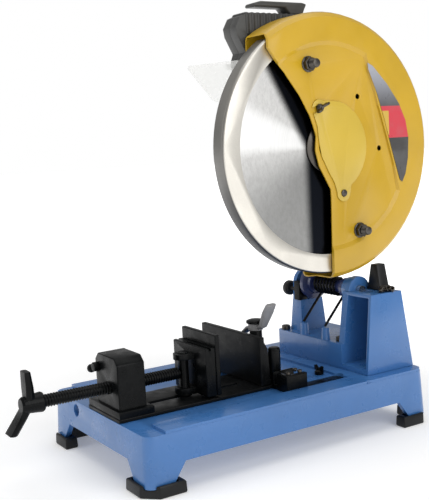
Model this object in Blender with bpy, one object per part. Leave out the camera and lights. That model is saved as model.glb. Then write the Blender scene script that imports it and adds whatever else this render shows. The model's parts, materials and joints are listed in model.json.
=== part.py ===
"""Dry-cut metal chop saw: one object per piece, metres, +X to the operator's right, +Y to the rear, +Z up.

Everything is first laid out from the middle of the base's front edge on the floor (x = 0, y = 0, z = 0), and at
the end the whole saw is shifted so that its origin is the middle of its footprint.
"""

import math

import bmesh
import bpy
from mathutils import Matrix, Vector

MM = 0.001
GAP = 0.3 * MM  # between faces that touch

# ---- base casting -------------------------------------------------------------------------------------------
BASE_WIDTH = 295.4 * MM
BASE_LENGTH = 480.0 * MM
DECK_TOP = 79.4 * MM
RAIL_RISE = 4.0 * MM  # side rails and rear platform above the deck
RAIL_INNER = 110.0 * MM  # from the middle line
RAIL_START = 28.0 * MM
PLATFORM_START = 361.0 * MM
SKIRT_LOW = 39.3 * MM
SKIRT_FLARE = 3.0 * MM  # how far the skirt's lower edge stands out
LEG_LOW = 12.0 * MM
CASTING_WALL = 6.0 * MM
LEG_SPAN = 57.0 * MM  # of a leg along the base, at the skirt's lower edge
LEG_TAPER = 20.0 * MM
CORNER_ROUND = 14.0 * MM
SLOT_WIDTH = 25.0 * MM
SLOT_START = 288.0 * MM
SLOT_END = 367.0 * MM
SLOT_X = 89.0 * MM
FRONT_HOLE_X = -67.0 * MM
FRONT_HOLE_RADIUS = 9.0 * MM

# ---- feet ---------------------------------------------------------------------------------------------------
FOOT_OUT = 5.5 * MM  # beyond the leg
FOOT_LENGTH = 59.0 * MM
FOOT_WIDTH = 19.5 * MM
FOOT_HEIGHT = 16.5 * MM
FOOT_CHAMFER = 20.0 * MM

# ---- vise ---------------------------------------------------------------------------------------------------
BED_X = 24.0 * MM
BED_WIDTH = 98.0 * MM
BED_LENGTH = 290.0 * MM
BED_THICK = 5.0 * MM
KEY_WIDTH = 9.4 * MM
KEY_SLOT_START = 58.0 * MM
KEY_SLOT_END = 212.0 * MM
SCREW_X = 28.0 * MM
SCREW_Z = 118.5 * MM
SCREW_RADIUS = 8.8 * MM
SCREW_START = -100.0 * MM
SCREW_NOSE_RADIUS = 4.0 * MM
BLOCK_WIDTH = 68.0 * MM
BLOCK_START = 7.0 * MM
BLOCK_DEPTH = 41.0 * MM
BLOCK_TOP = 163.0 * MM
BLOCK_FLANGE = 9.0 * MM
BLOCK_BORE_GAP = 0.5 * MM
NUT_WIDTH = 26.0 * MM
NUT_DEPTH = 22.0 * MM
NUT_DROP = 20.0 * MM  # nut bottom below the screw axis
NUT_TRAVEL = 3.5 * MM
NUT_SIDE_GAP = 0.5 * MM
LEVER_X = 3.0 * MM
LEVER_Z = 144.0 * MM
POST_Y = 127.0 * MM
POST_RADIUS = 7.5 * MM
POST_TOP = 148.0 * MM
JAW_WIDTH = 92.0 * MM
JAW_BLOCK_START = 138.0 * MM
JAW_BLOCK_DEPTH = 15.7 * MM
JAW_BLOCK_TOP = 157.0 * MM
JAW_PLATE_THICK = 7.0 * MM
JAW_PLATE_TOP = 174.0 * MM
JAW_LUG_RADIUS = 14.0 * MM
LUG_LOW = 88.9 * MM
LUG_THICK = 8.0 * MM
RUNNING_GAP = 0.3 * MM

# ---- fence --------------------------------------------------------------------------------------------------
FENCE_Y = 232.0 * MM
FENCE_THICK = 8.0 * MM
FENCE_LENGTH = 160.0 * MM
FENCE_RIGHT = 70.0 * MM
FENCE_TOP = 157.0 * MM
FENCE_FOOT = 34.0 * MM
FENCE_FOOT_THICK = 8.0 * MM
FOOT_REACH = 23.0 * MM  # of the fence's foot, to the right of its clamp
CLAMP_X = 22.0 * MM
CLAMP_Y = 259.0 * MM
CLAMP_RADIUS = 9.5 * MM
CLAMP_TOP = 158.0 * MM
CLAMP_FLANGE_RADIUS = 14.0 * MM
LOCK_HUB_HEIGHT = 10.0 * MM
STOP_PIN_RADIUS = 9.0 * MM
STOP_PIN_TOP = 138.0 * MM
BRACKET_LENGTH = 37.0 * MM
BRACKET_HEIGHT = 25.0 * MM
BRACKET_WIDTH = 36.0 * MM
DEPTH_STOP_X = 57.0 * MM
DEPTH_STOP_Y = 349.0 * MM

# ---- stand --------------------------------------------------------------------------------------------------
STAND_START = 384.0 * MM
STAND_LENGTH = 93.0 * MM
STAND_LEFT = -94.0 * MM
STAND_RIGHT = 128.0 * MM
PEDESTAL_TOP = 122.0 * MM
COLUMN_LEFT = 58.0 * MM
COLUMN_TOP = 202.0 * MM
COLUMN_LEAN = 6.0 * MM
COLUMN_WALL = 5.0 * MM
OPENING_LEFT = 70.0 * MM  # of the column's open front
UPRIGHT_LEFT = -77.0 * MM
UPRIGHT_WIDTH = 27.0 * MM
UPRIGHT_DEPTH = 46.0 * MM
SHOULDER_TOP = 174.0 * MM
TAB_LEFT = -72.0 * MM
TAB_WIDTH = 9.0 * MM
PIVOT_Y = 425.0 * MM
PIVOT_Z = 202.0 * MM
PIVOT_RADIUS = 7.0 * MM
PIVOT_BOSS_RADIUS = 21.0 * MM
EAR_LEFT = 47.0 * MM
LOCK_Y = 406.0 * MM
LOCK_Z = 191.0 * MM
LOCK_RADIUS = 4.0 * MM
LOCK_TRAVEL = 5.5 * MM
KNOB_RADIUS = 12.5 * MM
KNOB_LENGTH = 12.0 * MM
SPRING_POST_Y = 391.0 * MM
SPRING_POST_TOP = 141.0 * MM
SPRING_POST_RADIUS = 6.0 * MM
SPRING_LEFT = -29.0 * MM
SPRING_RIGHT = 25.0 * MM
SPRING_WIRE = 2.1 * MM
SPRING_COIL = 13.9 * MM
SPRING_TURNS = 7
HEAD_TRAVEL = math.radians(59)  # from raised to fully down

# ---- head ---------------------------------------------------------------------------------------------------
BLADE_Y = 359.0 * MM
BLADE_Z = PIVOT_Z + 223.0 * MM
BLADE_X = 79.0 * MM  # back face
BLADE_THICK = 2.2 * MM
BLADE_RADIUS = 177.5 * MM
BLADE_TEETH = 72
TOOTH_DEPTH = 5.0 * MM
ARBOR_RADIUS = 12.4 * MM
FLANGE_RADIUS = 37.0 * MM
INNER_FLANGE_THICK = 7.0 * MM
OUTER_FLANGE_THICK = 4.0 * MM
BOLT_RADIUS = 6.0 * MM
BOLT_HEAD = 5.6 * MM
GEAR_MODULE = 2.0 * MM
GEAR_TEETH = 58
PINION_TEETH = 12
MOTOR_ANGLE = math.radians(20.7)
GEAR_BACK = 12.0 * MM
GEAR_WIDTH = 16.0 * MM
GEARBOX_BACK = 2.0 * MM
GEARBOX_FRONT = 39.4 * MM
GEARBOX_WALL = 4.0 * MM
NOSE_RADIUS = 26.0 * MM
NOSE_END = 66.0 * MM
BEARING_RADIUS = 22.0 * MM
BEARING_WIDTH = 12.0 * MM
MOTOR_RADIUS = 46.0 * MM
MOTOR_WALL = 4.0 * MM
MOTOR_LENGTH = 114.0 * MM
MOTOR_SHAFT = 5.0 * MM
MOTOR_BEARING = 13.0 * MM
REAR_BEARING = 11.0 * MM
MOTOR_BEARING_WIDTH = 8.0 * MM
CAP_THICK = 14.0 * MM

GUARD_RADIUS = 194.5 * MM
GUARD_BACK = 40.0 * MM
GUARD_FRONT = 95.0 * MM
GUARD_WALL = 2.0 * MM
GUARD_FACE_INNER = 89.5 * MM
GUARD_RECESS = 91.5 * MM
RECESS_RADIUS = 150.0 * MM
GUARD_LIP_Y = -107.0 * MM  # the rim's front end, from the blade axis
ACCESS_RADIUS = 21.0 * MM
COVER_THICK = 1.6 * MM
COVER_RADIUS = 68.0 * MM
COVER_LOBE = 12.5 * MM
WING_AT = (-19.8 * MM, 56.7 * MM)
RIVET_AT = (21.0 * MM, -69.0 * MM)
COVER_SCREW_RADIUS = 3.0 * MM
UPPER_BOLT_AT = (-36.0 * MM, 119.0 * MM)
LOWER_BOLT_AT = (51.0 * MM, -127.0 * MM)
SMALL_HOLES = ((55.0 * MM, 72.0 * MM), (95.0 * MM, -6.0 * MM))
SMALL_HOLE_RADIUS = 4.2 * MM
GRAPHIC_THICK = 0.8 * MM

RING_RADIUS = 186.0 * MM
RING_INNER = 157.5 * MM
RING_BACK = 64.7 * MM
RING_FRONT = 88.7 * MM
RING_WALL = 1.8 * MM
RING_FROM = math.radians(124)
RING_TO = math.radians(284)
RING_ARM_ANGLE = math.radians(212)
RING_HUB = 36.0 * MM

# ---- handle and visor ---------------------------------------------------------------------------------------
HANDLE_LEFT = 3.0 * MM
HANDLE_RIGHT = 37.0 * MM
HANDLE_DATUM = 425.0 * MM
HANDLE_FOOT = BLADE_Z + 75.0 * MM
GRIP_TOP = BLADE_Z + 197.0 * MM
CARRY_TOP = BLADE_Z + 215.0 * MM
CARRY_THICK = 8.0 * MM
TRIGGER_TRAVEL = 5.0 * MM
VISOR_Y = 240.0 * MM
VISOR_THICK = 3.0 * MM
VISOR_PIN_Y = 258.0 * MM
VISOR_PIN_Z = BLADE_Z + 124.0 * MM
VISOR_PIN_RADIUS = 3.0 * MM

SCREW_END = POST_Y - POST_RADIUS - GAP
BED_LOW = DECK_TOP + GAP
BED_TOP = BED_LOW + BED_THICK
PLATFORM_TOP = DECK_TOP + RAIL_RISE
STAND_LOW = PLATFORM_TOP + GAP
GEAR_CENTRE_DISTANCE = GEAR_MODULE * (GEAR_TEETH + PINION_TEETH) / 2
MOTOR_Y = BLADE_Y + GEAR_CENTRE_DISTANCE * math.cos(MOTOR_ANGLE)
MOTOR_Z = BLADE_Z + GEAR_CENTRE_DISTANCE * math.sin(MOTOR_ANGLE)
HANDLE_SPLIT = (HANDLE_LEFT + HANDLE_RIGHT) / 2

# colour, roughness, metallic
FINISHES = {
    "blue_paint": ((0.075, 0.205, 0.48), 0.38, 0.0),
    "yellow_paint": ((0.70, 0.47, 0.035), 0.35, 0.0),
    "black_paint": ((0.009, 0.010, 0.012), 0.42, 0.0),
    "rubber": ((0.012, 0.012, 0.013), 0.75, 0.0),
    "black_plastic": ((0.013, 0.013, 0.014), 0.45, 0.0),
    "steel": ((0.56, 0.55, 0.53), 0.30, 1.0),
    "ring_steel": ((0.60, 0.575, 0.53), 0.38, 1.0),
    "dark_steel": ((0.10, 0.095, 0.085), 0.45, 1.0),
    "grey_casting": ((0.14, 0.14, 0.14), 0.5, 0.0),
    "aluminium": ((0.45, 0.46, 0.47), 0.45, 1.0),
    "copper": ((0.45, 0.18, 0.08), 0.4, 1.0),
    "graphic": ((0.16, 0.14, 0.14), 0.3, 0.0),
    "clear": ((0.85, 0.88, 0.88), 0.1, 0.0),
    "orange_plastic": ((0.6, 0.05, 0.02), 0.4, 0.0),
}


# ---- tools --------------------------------------------------------------------------------------------------
def clear_scene():
    for item in list(bpy.data.objects):
        bpy.data.objects.remove(item, do_unlink=True)


def material(name):
    found = bpy.data.materials.get(name)
    if found:
        return found
    colour, roughness, metallic = FINISHES[name]
    made = bpy.data.materials.new(name)
    made.use_nodes = True
    shader = made.node_tree.nodes["Principled BSDF"]
    shader.inputs["Base Color"].default_value = (*colour, 1.0)
    shader.inputs["Roughness"].default_value = roughness
    shader.inputs["Metallic"].default_value = metallic
    return made


def to_object(name, shape, finish):
    """Turn a bmesh into a named object with one material, flat faces kept sharp."""
    bmesh.ops.recalc_face_normals(shape, faces=shape.faces)
    mesh = bpy.data.meshes.new(name)
    shape.to_mesh(mesh)
    shape.free()
    mesh.shade_smooth()
    mesh.set_sharp_from_angle(angle=math.radians(35))
    made = bpy.data.objects.new(name, mesh)
    bpy.context.scene.collection.objects.link(made)
    mesh.materials.append(material(finish))
    return made


def skin(sections, closed=False):
    """Join rings of equal point count; open runs get a cap at each end."""
    shape = bmesh.new()
    rings = [[shape.verts.new(point) for point in ring] for ring in sections]
    count = len(rings[0])
    pairs = list(zip(rings, rings[1:] + rings[:1])) if closed else list(zip(rings, rings[1:]))
    for low, high in pairs:
        for i in range(count):
            j = (i + 1) % count
            shape.faces.new((low[i], low[j], high[j], high[i]))
    if not closed:
        shape.faces.new(rings[0])
        shape.faces.new(rings[-1])
    return shape


def along(axis, distance, u, v):
    """Point at a distance along an axis; u and v are the other two coordinates in X, Y, Z order."""
    if axis == "x":
        return Vector((distance, u, v))
    if axis == "y":
        return Vector((u, distance, v))
    return Vector((u, v, distance))


def prism(outline, axis, low, high):
    return skin([[along(axis, d, u, v) for u, v in outline] for d in (low, high)])


def box(x, y, z):
    """Box from three (low, high) pairs."""
    return prism([(x[0], y[0]), (x[1], y[0]), (x[1], y[1]), (x[0], y[1])], "z", z[0], z[1])


def circle(centre, radius, steps, start=0.0):
    return [
        (centre[0] + radius * math.cos(start + math.tau * i / steps),
         centre[1] + radius * math.sin(start + math.tau * i / steps))
        for i in range(steps)
    ]


def arc(centre, radius, start, end, steps):
    """Points from one angle (degrees) to another, ends included."""
    return [
        (centre[0] + radius * math.cos(math.radians(start + (end - start) * i / steps)),
         centre[1] + radius * math.sin(math.radians(start + (end - start) * i / steps)))
        for i in range(steps + 1)
    ]


def turned(profile, axis, centre, steps=32):
    """Solid of revolution from (distance along the axis, radius) points, solid to the axis."""
    return skin([
        [along(axis, d, *point) for point in circle(centre, radius, steps)] for d, radius in profile
    ])


def sleeve(low, high, outer, bore, axis, centre, steps=32):
    """Ring or tube with a bore."""
    profile = [(low, outer), (high, outer), (high, bore), (low, bore)]
    rings = [[along(axis, d, *p) for p in circle(centre, radius, steps)] for d, radius in profile]
    return skin(rings, closed=True)


def swept(profile, centre, start, end, steps):
    """Sweep an (x, radius) outline about an X-parallel axis between two angles, ends capped."""
    sections = []
    for i in range(steps + 1):
        angle = start + (end - start) * i / steps
        sections.append([
            Vector((x, centre[0] + r * math.cos(angle), centre[1] + r * math.sin(angle))) for x, r in profile
        ])
    return skin(sections)


def tube(path, radius, sides):
    """Round wire along a list of points, with its frame carried along the path."""
    sections = []
    side = None
    for i, point in enumerate(path):
        ahead = (path[min(i + 1, len(path) - 1)] - path[max(i - 1, 0)]).normalized()
        side = ahead.orthogonal() if side is None else side - ahead * side.dot(ahead)
        side.normalize()
        other = ahead.cross(side)
        sections.append([
            point + (side * math.cos(math.tau * k / sides) + other * math.sin(math.tau * k / sides)) * radius
            for k in range(sides)
        ])
    return skin(sections)


def hull(points):
    """Convex outline around 2-D points, counter-clockwise."""
    points = sorted(set(points))

    def half(run):
        chain = []
        for p in run:
            while len(chain) > 1:
                (ax, ay), (bx, by) = chain[-2], chain[-1]
                if (bx - ax) * (p[1] - ay) - (by - ay) * (p[0] - ax) > 0:
                    break
                chain.pop()
            chain.append(p)
        return chain[:-1]

    return half(points) + half(points[::-1])


def rounded_rectangle(x, y, radius, steps=3):
    corners = ((x[1], y[1], 0), (x[0], y[1], 90), (x[0], y[0], 180), (x[1], y[0], 270))
    outline = []
    for cx, cy, start in corners:
        inner = (cx - math.copysign(radius, cx - (x[0] + x[1]) / 2), cy - math.copysign(radius, cy - (y[0] + y[1]) / 2))
        outline += arc(inner, radius, start, start + 90, steps)
    return outline


def combine(target, shape, operation):
    """Add or cut a shape with a live Boolean; the helper object is not part of the saw."""
    helper = to_object(f"helper_{target.name}_{len(target.modifiers)}", shape, "grey_casting")
    helper.hide_render = True
    helper.display_type = "WIRE"
    change = target.modifiers.new(helper.name, "BOOLEAN")
    change.operation = operation
    change.solver = "EXACT"
    change.object = helper


def add(target, shape):
    combine(target, shape, "UNION")


def cut(target, shape):
    combine(target, shape, "DIFFERENCE")


def bevel(target, width, segments=1):
    change = target.modifiers.new("edges", "BEVEL")
    change.width = width
    change.segments = segments
    change.limit_method = "ANGLE"
    change.angle_limit = math.radians(40)


def turn_about(target, point):
    """Put the object's origin on its joint's axis."""
    target.data.transform(Matrix.Translation(-Vector(point)))
    target.location = point


def at_blade(offset):
    """(y, z) of a place on the guard's face, given from the blade axis."""
    return (BLADE_Y + offset[0], BLADE_Z + offset[1])


# ---- base ---------------------------------------------------------------------------------------------------
def skirt_outline(length, low_y):
    """Side view of a skirt with its arch, from one end to the other."""
    foot = LEG_SPAN - LEG_TAPER
    return [
        (0, low_y), (foot, low_y), (LEG_SPAN, SKIRT_LOW), (length - LEG_SPAN, SKIRT_LOW),
        (length - foot, low_y), (length, low_y),
    ]


def build_base():
    half = BASE_WIDTH / 2
    flare = SKIRT_FLARE
    top = rounded_rectangle((-half, half), (0, BASE_LENGTH), CORNER_ROUND, 4)
    low = rounded_rectangle((-half - flare, half + flare), (-flare, BASE_LENGTH + flare), CORNER_ROUND, 4)
    shape = skin([
        [Vector((x, y, LEG_LOW)) for x, y in low],
        [Vector((x, y, DECK_TOP)) for x, y in top],
    ])
    base = to_object("base_casting", shape, "blue_paint")
    rail_top = PLATFORM_TOP
    for side in (-1, 1):
        xs = sorted((side * RAIL_INNER, side * (half - 0.4 * MM)))
        add(base, box(xs, (RAIL_START, PLATFORM_START + RAIL_RISE), (DECK_TOP - RAIL_RISE, rail_top)))
    platform = rounded_rectangle(
        (-half + 0.4 * MM, half - 0.4 * MM), (PLATFORM_START, BASE_LENGTH - 0.4 * MM), CORNER_ROUND)
    add(base, prism(platform, "z", DECK_TOP - RAIL_RISE, rail_top))
    wall = CASTING_WALL
    hollow = rounded_rectangle((-half + wall, half - wall), (wall, BASE_LENGTH - wall), CORNER_ROUND - wall, 3)
    cut(base, prism(hollow, "z", LEG_LOW - 20 * MM, DECK_TOP - wall))
    reach = 20 * MM
    width = BASE_WIDTH + 2 * flare
    length = BASE_LENGTH + 2 * flare
    for span, axis, lows in ((length, "x", width), (width, "y", length)):
        start = -flare if axis == "x" else -width / 2
        arch = [(start + u, v) for u, v in skirt_outline(span, LEG_LOW - reach)]
        foot = LEG_SPAN - LEG_TAPER
        arch = [(start + foot, LEG_LOW - reach)] + [(start + foot, LEG_LOW)] + arch[2:4] + [
            (start + span - foot, LEG_LOW), (start + span - foot, LEG_LOW - reach)]
        if axis == "x":
            cut(base, prism(arch, "x", -lows / 2 - reach, lows / 2 + reach))
        else:
            cut(base, prism(arch, "y", -flare - reach, BASE_LENGTH + flare + reach))
    slot = (SLOT_X - SLOT_WIDTH / 2, SLOT_X + SLOT_WIDTH / 2)
    outline = [(slot[0], SLOT_START), (slot[1], SLOT_START)] + arc(
        (SLOT_X, SLOT_END - SLOT_WIDTH / 2), SLOT_WIDTH / 2, 0, 180, 8)
    cut(base, prism(outline, "z", DECK_TOP - 20 * MM, DECK_TOP + 20 * MM))
    hole_z = DECK_TOP - 13 * MM
    cut(base, turned([(-20 * MM, FRONT_HOLE_RADIUS), (12 * MM, FRONT_HOLE_RADIUS)], "y",
                     (FRONT_HOLE_X, hole_z), 16))
    stop_hole = turned([(DECK_TOP - 20 * MM, 4.5 * MM), (DECK_TOP + 20 * MM, 4.5 * MM)], "z",
                       (DEPTH_STOP_X, DEPTH_STOP_Y), 12)
    cut(base, stop_hole)


def build_feet():
    half = BASE_WIDTH / 2 + SKIRT_FLARE + FOOT_OUT
    ends = (-SKIRT_FLARE - FOOT_OUT, BASE_LENGTH + SKIRT_FLARE + FOOT_OUT)
    leg = LEG_SPAN - LEG_TAPER
    for side, side_name in ((-1, "left"), (1, "right")):
        for end, end_name in ((0, "front"), (1, "rear")):
            inward = 1 if end == 0 else -1
            x0, y0 = side * half, ends[end]

            def corner(u, v, x0=x0, y0=y0, side=side, inward=inward):
                return (x0 - side * u, y0 + inward * v)

            def foot_outline(shrink):
                c = FOOT_CHAMFER - shrink * 0.4
                n = FOOT_LENGTH - shrink
                w = FOOT_WIDTH - shrink
                outline = [corner(c, shrink), corner(n, shrink), corner(n, w), corner(w + 9 * MM, w),
                           corner(w, w + 9 * MM), corner(w, n), corner(shrink, n), corner(shrink, c)]
                return outline if side * inward > 0 else outline[::-1]

            heights = ((0.0, 1.0 * MM), (2 * MM, 0.0), (FOOT_HEIGHT - 2 * MM, 0.6 * MM), (FOOT_HEIGHT, 1.6 * MM))
            foot = to_object(
                f"foot_{end_name}_{side_name}",
                skin([[Vector((x, y, z)) for x, y in foot_outline(s)] for z, s in heights]),
                "rubber")
            pocket_low = LEG_LOW - GAP
            flare_out = FOOT_OUT - 0.9 * MM
            reach = leg + FOOT_OUT + 7 * MM
            inner = FOOT_OUT + CASTING_WALL + 4 * MM
            pocket = [corner(flare_out, flare_out), corner(reach, flare_out), corner(reach, inner),
                      corner(inner + 9 * MM, inner), corner(inner, inner + 9 * MM), corner(inner, reach),
                      corner(flare_out, reach)]
            cut(foot, prism(pocket, "z", pocket_low, FOOT_HEIGHT + 10 * MM))


# ---- vise ---------------------------------------------------------------------------------------------------
def build_bed():
    xs = (BED_X - BED_WIDTH / 2, BED_X + BED_WIDTH / 2)
    bed = to_object("vise_bed_plate", box(xs, (0.5 * MM, BED_LENGTH), (BED_LOW, BED_TOP)), "black_paint")
    bevel(bed, 0.8 * MM)
    half = KEY_WIDTH / 2 + 0.5 * MM
    slot = arc((SCREW_X, KEY_SLOT_END), half, 0, 180, 6) + arc((SCREW_X, KEY_SLOT_START), half, 180, 360, 6)
    cut(bed, prism(slot, "z", BED_LOW - 5 * MM, BED_TOP + 5 * MM))


def build_screw_block():
    left = SCREW_X - BLOCK_WIDTH / 2
    right = SCREW_X + BLOCK_WIDTH / 2
    low = BED_TOP + GAP
    chamfer = 9 * MM
    outline = [
        (left, low), (right, low), (right, BLOCK_TOP - chamfer), (right - chamfer, BLOCK_TOP),
        (left + chamfer, BLOCK_TOP), (left, BLOCK_TOP - chamfer),
    ]
    block = to_object("screw_block", prism(outline, "y", BLOCK_START, BLOCK_START + BLOCK_DEPTH), "black_paint")
    bevel(block, 1.2 * MM)
    bed_half = BED_WIDTH / 2 - 1 * MM
    add(block, box((BED_X - bed_half, BED_X + bed_half), (1.5 * MM, BLOCK_START + BLOCK_DEPTH + 6 * MM),
                   (low, low + BLOCK_FLANGE)))
    bore = SCREW_RADIUS + BLOCK_BORE_GAP
    cut(block, turned([(-20 * MM, bore), (BLOCK_START + BLOCK_DEPTH + 20 * MM, bore)], "y",
                      (SCREW_X, SCREW_Z), 24))
    middle = BLOCK_START + BLOCK_DEPTH / 2
    gap = NUT_SIDE_GAP
    cut(block, box((SCREW_X - NUT_WIDTH / 2 - gap, SCREW_X + NUT_WIDTH / 2 + gap),
                   (middle - NUT_DEPTH / 2 - gap, middle + NUT_DEPTH / 2 + gap),
                   (SCREW_Z - NUT_DROP - NUT_TRAVEL - 1 * MM, SCREW_Z)))
    nut = to_object("half_nut", box((SCREW_X - NUT_WIDTH / 2, SCREW_X + NUT_WIDTH / 2),
                                    (middle - NUT_DEPTH / 2, middle + NUT_DEPTH / 2),
                                    (SCREW_Z - NUT_DROP, SCREW_Z - 1 * MM)), "dark_steel")
    cut(nut, turned([(-20 * MM, SCREW_RADIUS + GAP), (BLOCK_START + BLOCK_DEPTH + 20 * MM, SCREW_RADIUS + GAP)],
                    "y", (SCREW_X, SCREW_Z), 24))
    front = BLOCK_START - GAP
    lever = to_object("nut_release_lever", turned(
        [(front - 8 * MM, 5.5 * MM), (front - 7 * MM, 6.5 * MM), (front, 6.5 * MM)], "y", (LEVER_X, LEVER_Z), 16),
        "black_paint")
    tip = Vector((LEVER_X - 14 * MM, front - 4 * MM, LEVER_Z - 5 * MM))
    add(lever, tube([Vector((LEVER_X, front - 4 * MM, LEVER_Z)), tip], 2.6 * MM, 8))
    knob = bmesh.new()
    bmesh.ops.create_icosphere(knob, subdivisions=2, radius=6.2 * MM, matrix=Matrix.Translation(tip))
    add(lever, knob)
    turn_about(lever, (LEVER_X, front, LEVER_Z))


def build_screw():
    screw = to_object("vise_screw", turned(
        [(SCREW_START, SCREW_RADIUS), (SCREW_END - 1.5 * MM, SCREW_RADIUS), (SCREW_END, SCREW_RADIUS - 1.5 * MM),
         (SCREW_END, SCREW_NOSE_RADIUS), (POST_Y + 3 * MM, SCREW_NOSE_RADIUS)], "y", (SCREW_X, SCREW_Z), 24),
        "black_paint")
    turn_about(screw, (SCREW_X, SCREW_START, SCREW_Z))
    hub_end = SCREW_START + 14 * MM
    crank = to_object("crank_handle", turned(
        [(SCREW_START - 16 * MM, 9 * MM), (SCREW_START - 13 * MM, 11 * MM), (hub_end - 2 * MM, 13.5 * MM),
         (hub_end, 12.5 * MM)], "y", (SCREW_X, SCREW_Z), 20), "black_paint")
    wings = (
        ((0, -4, 0), (3, -6, 24), (5, -8, 45), (8.5, 11, 10), (7.5, 6.5, 5)),
        ((0, -6, 0), (-6, -15, -18), (-9, -28, -38), (9, 12, 13), (7.5, 6.5, 6)),
    )
    for start, middle, end, widths, thicks in wings:
        sections = []
        for place, wide, thick in zip((start, middle, end), widths, (*thicks, thicks[-1])):
            centre = Vector((SCREW_X + place[0] * MM, SCREW_START + place[1] * MM, SCREW_Z + place[2] * MM))
            outline = [(wide, thick * 0.3), (wide * 0.8, thick), (-wide * 0.8, thick), (-wide, thick * 0.3),
                       (-wide, -thick * 0.3), (-wide * 0.8, -thick), (wide * 0.8, -thick), (wide, -thick * 0.3)]
            sections.append([centre + Vector((u * MM, v * MM * 0.8, 0)) for u, v in outline])
        add(crank, skin(sections))
    bore = SCREW_RADIUS + GAP
    cut(crank, turned([(SCREW_START - GAP, bore), (hub_end + 10 * MM, bore)], "y", (SCREW_X, SCREW_Z), 24))
    turn_about(crank, (SCREW_X, SCREW_START, SCREW_Z))


def build_jaw():
    low = BED_TOP + GAP
    post = to_object("jaw_pivot_post", turned(
        [(low, 11 * MM), (LUG_LOW - GAP, 11 * MM), (LUG_LOW - GAP, POST_RADIUS),
         (POST_TOP - 1 * MM, POST_RADIUS), (POST_TOP, POST_RADIUS - 1 * MM)], "z", (SCREW_X, POST_Y), 24),
        "black_paint")
    add(post, box((SCREW_X - KEY_WIDTH / 2, SCREW_X + KEY_WIDTH / 2), (POST_Y - 6 * MM, POST_Y + 6 * MM),
                  (BED_LOW + 0.6 * MM, low + 1 * MM)))
    nose_bore = SCREW_NOSE_RADIUS + GAP
    cut(post, turned([(POST_Y - 20 * MM, nose_bore), (POST_Y + 3.5 * MM, nose_bore)], "y", (SCREW_X, SCREW_Z), 16))
    half = JAW_WIDTH / 2
    block_end = JAW_BLOCK_START + JAW_BLOCK_DEPTH
    block = to_object("jaw_block", box((SCREW_X - half + 1 * MM, SCREW_X + half - 1 * MM),
                                       (JAW_BLOCK_START, block_end), (LUG_LOW - 1 * MM, JAW_BLOCK_TOP)),
                      "black_paint")
    bevel(block, 1.0 * MM)
    lug_top = POST_TOP - 2 * MM
    for z in (LUG_LOW, lug_top - LUG_THICK):
        round_end = arc((SCREW_X, POST_Y), JAW_LUG_RADIUS, 180, 360, 10)
        outline = round_end + [(SCREW_X + JAW_LUG_RADIUS, JAW_BLOCK_START + 2 * MM),
                               (SCREW_X - JAW_LUG_RADIUS, JAW_BLOCK_START + 2 * MM)]
        add(block, prism(outline, "z", z, z + LUG_THICK))
    cut(block, turned([(LUG_LOW - 10 * MM, POST_RADIUS + RUNNING_GAP), (POST_TOP + 10 * MM, POST_RADIUS + RUNNING_GAP)],
                      "z", (SCREW_X, POST_Y), 24))
    groove = JAW_BLOCK_START + 5 * MM
    cut(block, box((SCREW_X - half - 5 * MM, SCREW_X + half + 5 * MM), (groove, groove + 4 * MM),
                   (JAW_BLOCK_TOP - 4 * MM, JAW_BLOCK_TOP + 5 * MM)))
    turn_about(block, (SCREW_X, POST_Y, LUG_LOW))
    plate_y = block_end + GAP
    plate = to_object("jaw_plate", box((SCREW_X - half, SCREW_X + half), (plate_y, plate_y + JAW_PLATE_THICK),
                                       (LUG_LOW - 1 * MM, JAW_PLATE_TOP)), "black_paint")
    bevel(plate, 1.0 * MM)
    turn_about(plate, (SCREW_X, POST_Y, LUG_LOW))


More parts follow.
